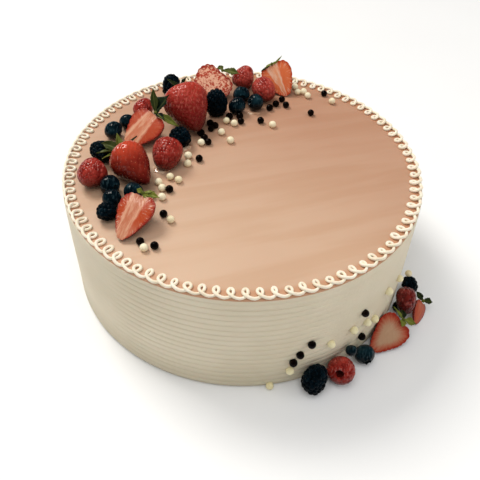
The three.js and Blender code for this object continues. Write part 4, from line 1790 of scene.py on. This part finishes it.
@dataclass
class HalfStrawberry(Strawberry):
    """Half a strawberry: its cut face is the plane X = 0 and its back lies towards local +X."""

    depth: float = 10.0
    finish: CutBerryFinish = STREAKED
    face_rings: tuple[float, ...] = (0.985, 0.93, 0.86, 0.78, 0.68, 0.56, 0.42, 0.26, 0.1)
    crown: float = 0.5
    dents: float = 0.035

    def fleshed(self, points: Array) -> Array:
        """The whole berry's rule, with dents in the cut edge where the knife went through seeds.

        Args:
            points: the vertices, one row each.

        Returns:
            Where they go.
        """
        x, y, z = super().fleshed(points).T
        around = np.arctan2(z, y)
        dent = np.abs(np.sin(11.0 * around + 0.8 * np.sin(3.0 * around + self.length))) ** 4
        keep = 1.0 - self.dents * dent * np.exp(-((x / (0.1 * self.width)) ** 2))
        return np.c_[x, y * keep, z * keep]

    def halve(self, berry: Piece) -> None:
        """Cuts the berry at X = 0, keeps the back, and closes the cut with ever smaller rings.

        Args:
            berry: the whole berry.
        """
        Bench.pick(berry)
        bpy.ops.object.mode_set(mode="EDIT")
        bpy.ops.mesh.select_all(action="SELECT")
        plane = {"plane_co": (0.0, 0.0, 0.0), "plane_no": (1.0, 0.0, 0.0)}
        bpy.ops.mesh.bisect(**plane, clear_inner=True, threshold=1e-4)
        bpy.ops.mesh.select_mode(type="EDGE")
        bpy.ops.mesh.select_all(action="DESELECT")
        bpy.ops.mesh.select_non_manifold()
        before = 1.0
        for share in self.face_rings:
            bpy.ops.mesh.extrude_region_move()
            size = share / before
            bpy.ops.transform.resize(value=(1.0, size, size), center_override=(0.0, 0.0, 0.0))
            before = share
        bpy.ops.mesh.merge(type="CENTER")
        bpy.ops.mesh.select_mode(type="VERT")
        bpy.ops.object.mode_set(mode="OBJECT")
        Bench.tidy(berry, 1e-5)

    def paint_cut(self, berry: Piece) -> Array:
        """Marks the cut face and how far each of its vertices lies from its edge.

        Args:
            berry: the halved berry.

        Returns:
            The distance from the edge, from 0 to 1 at the middle.
        """
        points = Bench.points(berry)
        flat = np.abs(points[:, 0]) < 1e-4
        turn = np.arctan2(points[:, 2], points[:, 1])
        reach = np.hypot(points[:, 1], points[:, 2])
        order = np.argsort(turn[flat])
        ring, far = turn[flat][order], reach[flat][order]

        def edge_at(angle: float) -> float:
            """How far the edge lies from the middle in one direction."""
            return far[np.abs((ring - angle + math.pi) % (2.0 * math.pi) - math.pi) < 0.09].max()

        depth = np.where(flat, 1.0 - reach / np.array([edge_at(angle) for angle in turn]), 0.0)
        depth = np.clip(np.where(depth < 0.008, 0.0, depth), 0.0, 1.0)
        Bench.paint(berry, "depth", depth)
        Bench.paint(berry, "cut", (flat & (depth > 0.0)).astype(float))
        return depth

    def build(self) -> None:
        """Turns, halves, pits, sows and dresses the half."""
        berry = Bench.turned(f"{self.node}_flesh", self.profile(), self.steps)
        Bench.shape(berry, self.fleshed)
        self.halve(berry)
        depth = self.paint_cut(berry)
        self.frame_berry(berry)
        spots = [(point, out) for point, out in self.seed_spots() if point.x > 0.5]
        self.pit(berry, spots)
        thin = self.depth / (self.width / 2.0)
        thinner = np.c_[np.where(depth > 0.0, 0.0, thin), np.ones(len(depth)), np.ones(len(depth))]
        swell = self.crown * smooth_step(0.0, 0.6, depth)
        Bench.shape(berry, lambda points: points * thinner - np.c_[swell, 0.0 * swell, 0.0 * swell])
        self.hand_over(berry, self.finish, "cut_strawberry")
        squashed = []
        for point, out in spots:
            flat_out = Vector((out.x / thin, out.y, out.z)).normalized()
            squashed.append((Vector((point.x * thin, point.y, point.z)), flat_out))
        self.hand_over(self.sow(f"{self.node}_seeds", squashed), SEEDS, "strawberry_skin")


@dataclass
class DropletBerry(Fruit):
    """A raspberry or bramble: drupelets in staggered rows round a core."""

    droplet: float = 2.8  # distance between neighbours
    plump: float = 0.27  # half-height of a drupelet over the skin, in parts of that distance
    spread: float = 0.66  # half-width of a drupelet, in parts of that distance
    row_gap: float = 0.86  # distance between rows, in parts of that distance
    ring_gap: float = 0.95  # distance round a row, in parts of that distance
    variety: float = 0.15  # how much drupelets differ in size
    cup: float = 0.13  # radius of the hollow at the stem end, in parts of the width
    cup_depth: float = 0.38  # its depth, in parts of the length
    core_rings: int = 14
    core_steps: int = 28
    fullness: float = 0.75
    shoulder: float = 0.16
    start: float = 0.32
    end: float = 2.8
    finish: DropletFinish = RASPBERRY
    slot: str = "raspberry"
    hollow: bool = True

    def half_width(self, turn: float) -> float:
        """Half-width, as turn goes from the stem end at 0 to the tip at pi."""
        return self.width / 2.0 * math.sin(turn) ** self.fullness * (1.0 + self.shoulder * math.cos(turn))

    def height(self, turn: float) -> float:
        """Height over the middle, as turn goes from the stem end at 0 to the tip at pi."""
        return -self.length / 2.0 * math.cos(turn)

    def core_profile(self) -> list[Point2]:
        """The core under the drupelets, with a cup at the stem end where the fruit came off its core.

        Returns:
            Radius and height of each point.
        """
        inset = self.plump * self.droplet
        rings = range(self.core_rings + 1)
        turns = [self.start + (self.end - self.start) * ring / self.core_rings for ring in rings]
        outside = [(max(0.6, self.half_width(t) - inset), self.height(t)) for t in turns]
        tip = self.length / 2.0 - inset
        if not self.hollow:
            return [(0.0, outside[0][1] - 0.3)] + outside + [(0.0, tip)]
        cup = self.cup * self.width
        rim = outside[0][1] - 0.2
        floor = rim + self.cup_depth * self.length
        inside = [(0.0, floor + 0.6), (0.35 * cup, floor + 0.5), (0.75 * cup, floor), (cup, rim + 1.4)]
        return inside + [(cup + 0.4, rim)] + outside + [(0.0, tip)]

    def rows(self) -> list[float]:
        """The turn of each row of drupelets, evenly spaced over the skin from the stem end to the tip.

        Returns:
            The turns.
        """
        turns = np.linspace(self.start, math.pi - 0.02, 300)
        outline = np.array([(self.half_width(t), self.height(t)) for t in turns])
        arc = np.r_[0.0, np.cumsum(np.hypot(*np.diff(outline, axis=0).T))]
        count = max(3, round(arc[-1] / (self.row_gap * self.droplet)))
        return [float(np.interp(arc[-1] * row / count, arc, turns)) for row in range(count)] + [math.pi]

    def droplets(self) -> list[Matrix]:
        """The place of each drupelet, each pushed out along the skin and staggered from row to row.

        Returns:
            One matrix for each.
        """
        places = []
        for row, turn in enumerate(self.rows()):
            radius, z = self.half_width(turn), self.height(turn)
            if radius < 0.5:
                radius, out = 0.0, Vector((0.0, 1.0))
            else:
                widening = self.half_width(turn + 0.01) - self.half_width(turn - 0.01)
                out = Vector((0.01 * self.length * math.sin(turn), -widening)).normalized()
            sunk = self.plump * self.droplet
            away, low = radius - out.x * sunk, z - out.y * sunk
            count = max(1, round(2.0 * math.pi * max(away, 0.0) / (self.ring_gap * self.droplet)))
            for item in range(count):
                key = row * 31 + item
                angle = 2.0 * math.pi * (item + 0.5 * (row % 2) + 0.12 * uneven(key, 5)) / count
                size = self.droplet * (1.0 + self.variety * uneven(key, 6))
                side = Vector((-math.sin(angle), math.cos(angle), 0.0))
                normal = Vector((out.x * math.cos(angle), out.x * math.sin(angle), out.y))
                axes = Matrix((normal, side, normal.cross(side))).transposed().to_4x4()
                middle = Vector((away * math.cos(angle), away * math.sin(angle), low))
                sizes = Matrix.Diagonal((size * self.plump, size * self.spread, size * self.spread, 1.0))
                places.append(Matrix.Translation(middle) @ axes @ sizes)
        return places

    def build(self) -> None:
        """Turns the core, sets the drupelets on it and dresses both as one piece."""
        core = Bench.turned(f"{self.node}_core", self.core_profile(), self.core_steps)
        radius = np.hypot(*Bench.points(core).T[:2])
        inside_cup = (radius < self.cup * self.width + 0.2) & (Bench.points(core)[:, 2] < 0.0)
        # the cup gets a tone of -1, which the finish paints with shade
        Bench.paint(core, "tone", np.where(inside_cup & self.hollow, -1.0, 0.0))
        around = Bench.directions(core)
        torn = 0.2 * np.sin(3.0 * around + 1.0) + 0.12 * np.sin(5.0 * around)
        Bench.widen(core, 1.0 + torn * inside_cup)
        blank = Bench.ball("drupelet_blank", 1.0, 10, 7)
        Bench.shape(blank, lambda points: points * np.array([1.0, 0.98, 0.98]))
        drupelets = Bench.copies(f"{self.node}_drupelets", blank, self.droplets())
        fruit = Bench.join(f"{self.node}_fruit", [core, drupelets])
        self.hand_over(fruit, self.finish, self.slot)


@dataclass
class Blueberry(Fruit):
    """A slightly flattened ball with a five-pointed crown at its stem end."""

    tall: float = 0.88
    crown_out: tuple[float, ...] = (0.0, 0.1, 0.2, 0.27, 0.33, 0.38, 0.42)  # in parts of half the width
    crown_low: tuple[float, ...] = (0.8, 0.81, 0.84, 0.93, 1.0, 0.98, 0.9)  # in parts of half the height
    crown_edge: float = 28.0  # degrees from the stem end to the edge of the crown
    rings: int = 24
    steps: int = 60

    def crowned(self, points: Array) -> Array:
        """The rule that cuts the turned rim of the crown into five points.

        Args:
            points: the vertices, one row each.

        Returns:
            Where they go.
        """
        x, y, z = points.T
        radius = np.hypot(x, y)
        turn = np.arctan2(y, x)
        rim = self.width / 2.0
        near = np.exp(-(((radius - 0.33 * rim) / (0.12 * rim)) ** 2)) * (z < -0.7 * rim * self.tall)
        lift = 0.14 * rim * (0.5 + 0.5 * np.cos(5.0 * turn)) * near
        swell = 1.0 + 0.015 * np.sin(2.0 * turn + self.width)
        return np.c_[x * swell, y * swell, z - lift + 0.06 * rim * near]

    def build(self) -> None:
        """Turns, crowns and dresses the berry."""
        half, tall = self.width / 2.0, self.width / 2.0 * self.tall
        profile = [(out * half, -low * tall) for out, low in zip(self.crown_out, self.crown_low)]
        for ring in range(1, self.rings + 1):
            turn = math.radians(self.crown_edge + (180.0 - self.crown_edge) * ring / self.rings)
            radius = half * math.sin(turn) if ring < self.rings else 0.0
            profile.append((radius, -tall * math.cos(turn)))
        berry = Bench.turned(f"{self.node}_fruit", profile, self.steps)
        Bench.shape(berry, self.crowned)
        self.hand_over(berry, BLUEBERRY, "blueberry")


@dataclass(frozen=True)
class Leaf:
    """One sepal: where it points, how long and wide it is, how it droops, and how light it is."""

    heading: float
    rise: float
    length: float
    width: float
    bend: float
    shade: float = 0.1
    curl: float = 0.0
    twist: float = 40.0


@dataclass
class Calyx:
    """The sepals at a strawberry's stem end with the knob that they grow from."""

    owner: Strawberry
    leaves: tuple[Leaf, ...]
    knob: float = 2.6
    lift: float = 0.1
    gap: float = 0.3
    thickness: float = 0.4
    teeth: int = 6

    def blade(self, leaf: Leaf, number: int) -> Piece:
        """Shapes one sepal from a flat grid: pointed, toothed, folded along its middle and twisted.

        Args:
            leaf: the sepal.
            number: its number in the calyx.

        Returns:
            The sepal, with its root at the origin.
        """
        Bench.clear()
        bpy.ops.mesh.primitive_grid_add(x_subdivisions=36, y_subdivisions=8, size=2.0)
        blade = bpy.context.object
        flat = Bench.points(blade)
        share, across = (flat[:, 0] + 1.0) / 2.0, flat[:, 1]
        half = leaf.width / 2.0 * (0.3 + 0.7 * smooth_step(0.0, 0.42, share))
        half = half * (1.0 - smooth_step(0.5, 1.02, share) ** 1.2)
        teeth = 1.0 + 0.24 * (share * self.teeth % 1.0 - 0.4) * np.abs(across) ** 3
        x = 0.4 + (leaf.length - 0.4) * share
        side = across * half * teeth
        belly = np.sin(share * math.pi)
        fold = leaf.width * (0.26 * np.abs(across) ** 1.4 - 0.08) * belly
        ripple = 0.07 * leaf.width * np.sin(share * 12.0 + number) * across * np.abs(across)
        twist = math.radians(leaf.twist) * (-1.0) ** number * share
        sway = leaf.curl * leaf.length * ((share - 0.5) ** 2 - 0.25)
        y = side * np.cos(twist) - (fold + ripple) * np.sin(twist) + sway
        droop = -leaf.bend * leaf.length * share**2.2
        z = side * np.sin(twist) + (fold + ripple) * np.cos(twist) + droop
        turn = Matrix.Rotation(math.radians(leaf.heading), 3, "Z")
        turn = turn @ Matrix.Rotation(math.radians(-leaf.rise), 3, "Y")
        shaped = np.c_[x, y, z] @ np.array(turn).T
        Bench.shape(blade, lambda _: shaped)
        Bench.paint(blade, "blade", np.c_[share, across, 0.0 * share])
        Bench.paint(blade, "shade", np.clip(leaf.shade + 0.3 * (1.0 - share) * leaf.shade, 0.0, 1.0))
        Bench.pick(blade)
        solid = blade.modifiers.new("thickness", "SOLIDIFY")
        solid.thickness = self.thickness
        solid.offset = -1.0
        bpy.ops.object.modifier_apply(modifier=solid.name)
        return blade

    def build(self) -> None:
        """Shapes the knob and the sepals, joins and dresses them."""
        knob = Bench.ball("knob", self.knob / 2.0, 14, 9)
        around = Bench.directions(knob)
        Bench.shape(knob, lambda points: points * (1.0 + 0.08 * np.cos(5.0 * around))[:, None])
        count = len(knob.data.vertices)
        Bench.paint(knob, "blade", np.tile(np.array([0.0, 1.0, 0.0]), (count, 1)))
        Bench.paint(knob, "shade", np.full(count, 0.55))
        blades = [self.blade(leaf, number) for number, leaf in enumerate(self.leaves)]
        calyx = Bench.join(f"{self.owner.node}_sepals", [knob, *blades])
        root = self.owner.stem_point(self.knob / 2.0 + self.gap + self.lift - self.owner.dimple)
        Bench.hand_over(calyx, LEAF, "leaf", [f"calyx_of_{self.owner.node}"], Matrix.Translation(root))


# Where the fruit lies


@dataclass
class BerryCrescent:
    """All the fruit on the top and at the foot, placed as the solids are."""

    def strawberries(self) -> dict[str, Strawberry]:
        """The whole and halved strawberries by node.

        Returns:
            The strawberries.
        """
        first = ((-71.5, -24.2, 100.1), 34.5, 25.4, 309, 9)
        second = ((-41.3, 41.3, 103.4), 37, 31.5, 298, 24)
        whole = [
            Strawberry("strawberry_1", *first, taper=0.58, seeds=190, pit_depth=0.36, skin=DARK_BERRY_SKIN),
            Strawberry("strawberry_2", *second, taper=0.44, seeds=320),
        ]
        # place, length, width, heading, dip and roll; then taper, depth and finish
        rows = [
            (((-74, 19.2, 99.7), 32, 26, 225, 31, -12), 0.44, 12, SMOOTH),
            (((-29, 81.2, 99.8), 33, 29, 226, 32, -35), 0.34, 11, MOTTLED),
            (((26.8, 95, 100.2), 29, 24, 315, 46, 46), 0.42, 10, ORANGE),
            (((-66.8, -69.2, 98), 32, 24, 247, 27, 6), 0.42, 9.5, STREAKED),
            (((102.9, -85.4, 9.5), 32, 23.4, 219, 22, -38), 0.5, 10, PALE_HEART),
            (((130.3, -61.8, 6.3), 18.4, 13.6, 246, 22, -58), 0.3, 4.6, SHADED),
        ]
        halves = [
            HalfStrawberry(f"half_strawberry_{number}", *place, taper=taper, depth=depth, finish=finish)
            for number, (place, taper, depth, finish) in enumerate(rows, start=1)
        ]
        return {berry.node: berry for berry in [*whole, *halves]}

    def raspberries(self) -> list[DropletBerry]:
        """The raspberries on the top and at the foot.

        Returns:
            All seven.
        """
        # place, length, width, heading and dip; then what differs from a common raspberry
        rows = [
            (((-99, -30, 98.2), 19, 19, 230, 10), {}),
            (((-77, 52.7, 96.1), 16, 14.4, 60, -30), {}),
            (((-52.5, -6, 98), 23, 20.5, 258, 28), {}),
            (((-2, 99.5, 98.8), 19, 17, 40, -60), {"shoulder": 0.26, "finish": LIT_RASPBERRY}),
            (((14.5, 83, 97.4), 20, 18, 300, 15), {"finish": LIT_RASPBERRY}),
            (((68.9, -113.4, 9.3), 16.5, 18.4, 70, 32), {}),
            # raspberry_7 lies in the cake's shade, so its finish has painted shade
            (((119.4, -58.7, 15.2), 19.5, 14, 270, 50), {"finish": SHADED_RASPBERRY}),
        ]
        return [
            DropletBerry(f"raspberry_{number}", *place, **own)
            for number, (place, own) in enumerate(rows, start=1)
        ]

    def brambles(self) -> list[DropletBerry]:
        """The brambles, whose drupelets are larger and stand out further, with no cup.

        Returns:
            All eight.
        """
        kind = {"plump": 0.46, "spread": 0.55, "variety": 0.24, "fullness": 0.7, "shoulder": 0.1}
        kind |= {"start": 0.3, "finish": BRAMBLE, "slot": "bramble", "hollow": False}
        # place, length, width, heading and dip; then the distance between drupelets
        rows = [
            (((-97, -3.5, 96.6), 19, 15.5, 160, 0), 3.4),
            (((-45.3, 17.6, 95.8), 16, 14.2, 320, 10), 3.4),
            (((-59.3, 83.5, 97.8), 19.5, 15, 90, -85), 3.4),
            (((-22.2, 59.2, 99.3), 22.5, 17.3, 270, -82), 3.4),
            (((-83.5, -62.2, 94.9), 13.2, 12.2, 200, 0), 3.4),
            (((50.9, -121.9, 10.6), 20, 16, 45, -55), 3.4),
            (((127.6, -37, 7.6), 14.4, 11.6, 120, -60), 3.4),
            (((116.2, -55.2, 4.4), 8, 7.6, 320, -85), 2.6),
        ]
        return [
            DropletBerry(f"bramble_{number}", *place, droplet=droplet, **kind)
            for number, (place, droplet) in enumerate(rows, start=1)
        ]

    def blueberries(self) -> list[Blueberry]:
        """The blueberries on the top and at the foot.

        Returns:
            All ten.
        """
        # place, width, heading and dip
        rows = [
            ((-95, 24.2, 95), 13.4, 200, -60),
            ((-87, 36.3, 94.4), 11.6, 100, 0),
            ((-3.5, 78, 95.1), 13.6, 100, 10),
            ((-6.5, 62.5, 94.9), 13.8, 200, -50),
            ((7.8, 68, 95.1), 13.4, 30, 20),
            ((-86, -37.6, 95.1), 13.7, 140, 10),
            ((-82.6, -49.7, 94.3), 12.4, 260, -50),
            ((-69.6, -43.4, 94.8), 13.6, 0, -40),
            ((86.2, -99.3, 7), 14, 100, 0),
            ((75.2, -104, 17.5), 8, 100, -50),
        ]
        return [
            Blueberry(f"blueberry_{number}", at, width, width, heading, dip)
            for number, (at, width, heading, dip) in enumerate(rows, start=1)
        ]

    def calyxes(self, berries: dict[str, Strawberry]) -> list[Calyx]:
        """The sepals of each strawberry.

        Args:
            berries: the strawberries by node.

        Returns:
            One calyx for each.
        """
        # heading, rise, length, width, bend and shade of each
        rows = {
            "strawberry_1": (
                Leaf(112, 42, 13, 4.6, 0.15, 0.5),
                Leaf(160, 20, 15, 7, 0.2, 0.18),
                Leaf(190, 10, 16, 5, 0.2, 0.3),
                Leaf(28, 42, 15, 3.2, 0.1, 0.02, twist=10),
                Leaf(214, 2, 14, 2.8, 0.1, 0.95),
            ),
            "strawberry_2": (
                Leaf(161, 39, 12, 5.5, 0.1, 0.04, twist=15),
                Leaf(18, 63, 11.5, 5, 0.0, 0.02, twist=10),
            ),
            "half_strawberry_1": (
                Leaf(104, 52, 17.5, 5, 0.02, 0.15, twist=15),
                Leaf(42, 45, 16, 10.5, 0.1, 0.0, twist=12),
                Leaf(333, -10, 20, 4.6, 0.1, 0.6, twist=60),
                Leaf(318, -6, 9, 5.0, 0.1, 0.0, twist=15),
            ),
            "half_strawberry_2": (
                Leaf(345, 5, 14, 6, 0.1, 0.35),
                Leaf(120, 10, 8, 4.5, 0.3, 0.3),
            ),
            "half_strawberry_3": (
                Leaf(25, 36, 10, 1.1, 0.0, 0.6, curl=0.5),
                Leaf(195, -28, 10.5, 1.5, 0.1, 0.05),
                Leaf(194, -14, 6, 2.4, 0.25, 0.95, twist=10),
                Leaf(16, 22, 5, 2.4, 0.1, 0.9, twist=10),
            ),
            "half_strawberry_4": (
                Leaf(345, 3, 11, 3.4, 0.1, 0.95),
                Leaf(8, 10, 7.5, 3, 0.1, 0.8),
                Leaf(318, -4, 5.5, 3, 0.1, 1.0),
                Leaf(170, 40, 4.5, 3.2, 0.0, 0.9),
            ),
            "half_strawberry_5": (
                Leaf(135, 35, 11, 2.6, 0.1, 0.7),
                Leaf(95, 20, 7.5, 5, 0.1, 0.02),
                Leaf(350, -5, 9, 5, 0.2, 0.7),
                Leaf(250, 10, 6, 4.5, 0.2, 0.95),
            ),
            "half_strawberry_6": (Leaf(0, 0, 7, 4.5, 0.1, 0.1), Leaf(130, 32, 8, 4, 0.1, 0.05)),
        }
        sunk = {"half_strawberry_3": -0.9}
        return [Calyx(berries[node], leaves, lift=sunk.get(node, 0.1)) for node, leaves in rows.items()]

    def build(self) -> None:
        """Builds every fruit."""
        berries = self.strawberries()
        fruit = [*berries.values(), *self.raspberries(), *self.brambles(), *self.blueberries()]
        for piece in [*fruit, *self.calyxes(berries)]:
            piece.build()


# Studio


@dataclass(frozen=True)
class SoftLight:
    """One soft square light: its place and size in metres, its power in watts, and its colour."""

    name: str
    at: Point3
    size: float
    power: float
    colour: str = "ffffff"
    glints: bool = False  # whether wet surfaces mirror it

    def hang(self, target: Point3) -> None:
        """Hangs the light so that it looks at a point.

        Args:
            target: the point, in metres.
        """
        data = bpy.data.lights.new(self.name, "AREA")
        data.shape = "SQUARE"
        data.size = self.size
        data.energy = self.power
        data.color = linear(self.colour)[:3]
        lamp = bpy.data.objects.new(self.name, data)
        bpy.context.collection.objects.link(lamp)
        lamp.location = self.at
        lamp.rotation_euler = (Vector(target) - Vector(self.at)).to_track_quat("-Z", "Y").to_euler()
        lamp.visible_glossy = self.glints


@dataclass
class Studio:
    """The pale table, the soft lights and the camera."""

    camera_at: Point3 = (0.0, -0.335665, 0.350314)
    camera_axes: tuple[Point3, Point3, Point3] = (
        (0.99932467, 0.02475981, 0.02715045),
        (-0.036745, 0.67337292, 0.73838927),
        (0.0, -0.73888826, 0.67382797),
    )
    lens: float = 45.299
    shift: Point2 = (-0.003335, -0.0645)
    table_size: float = 6.0
    lit_point: Point3 = (0.0, 0.0, 0.05)
    lights: tuple[SoftLight, ...] = (
        SoftLight("window", (-0.98, 0.85, 1.9), 0.85, 34.0, "fffaf2", glints=True),
        SoftLight("ceiling", (-0.1, -0.5, 1.5), 1.2, 10.0),
        SoftLight("right_fill", (1.3, -0.2, 0.6), 0.9, 5.0),
        SoftLight("left_fill", (-1.3, -0.35, 0.25), 0.9, 1.5),
    )
    room_tone: str = "fbfaf8"
    room_light: float = 0.33
    room_seen: float = 0.9
    room_mirrored: float = 0.06

    def camera(self) -> None:
        """Sets the camera where the photo's stood, with its framing for a square image."""
        data = bpy.data.cameras.new("camera")
        data.sensor_width = 36.0
        data.lens = self.lens
        data.shift_x, data.shift_y = self.shift
        data.clip_start, data.clip_end = 0.01, 50.0
        camera = bpy.data.objects.new("camera", data)
        bpy.context.collection.objects.link(camera)
        turn = Matrix(self.camera_axes).transposed().to_4x4()
        camera.matrix_world = Matrix.Translation(self.camera_at) @ turn
        bpy.context.scene.camera = camera

    def table(self) -> None:
        """Lays the pale, level table."""
        Bench.clear()
        bpy.ops.mesh.primitive_plane_add(size=self.table_size, location=(0.0, 0.0, 0.0))
        table = bpy.context.object
        table.name = "table_top"
        table.data.materials.append(TableFinish("pale_table").material())

    def surroundings(self) -> bpy.types.World:
        """A pale room: soft light on the cake, bright behind it, and dim where wet fruit mirrors it.

        Returns:
            The room as a world.
        """
        world = bpy.data.worlds.new("surroundings")
        world.use_nodes = True
        nodes, links = world.node_tree.nodes, world.node_tree.links
        nodes["Background"].inputs["Color"].default_value = linear(self.room_tone)
        path = nodes.new("ShaderNodeLightPath")
        seen, mirrored = nodes.new("ShaderNodeMix"), nodes.new("ShaderNodeMix")
        seen.inputs[2].default_value = self.room_light
        seen.inputs[3].default_value = self.room_seen
        mirrored.inputs[3].default_value = self.room_mirrored
        links.new(path.outputs["Is Camera Ray"], seen.inputs[0])
        links.new(path.outputs["Is Glossy Ray"], mirrored.inputs[0])
        links.new(seen.outputs[0], mirrored.inputs[2])
        links.new(mirrored.outputs[0], nodes["Background"].inputs["Strength"])
        return world

    def build(self) -> None:
        """Sets up the camera, the table, the lights and the pale surroundings."""
        self.camera()
        self.table()
        for light in self.lights:
            light.hang(self.lit_point)
        scene = bpy.context.scene
        scene.world = self.surroundings()
        scene.view_settings.view_transform = "Standard"
        scene.view_settings.look = "None"


def main() -> None:
    """Builds the scene in order."""
    logging.basicConfig(level=logging.INFO, format="%(message)s")
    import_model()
    Studio().build()
    for part in (CreamCake(), PinkGlaze(), PipedBorder(), JellyPools(), Pearls(), BerryCrescent()):
        part.build()
        LOG.info("%s is done", type(part).__name__)


if __name__ == "__main__":
    main()
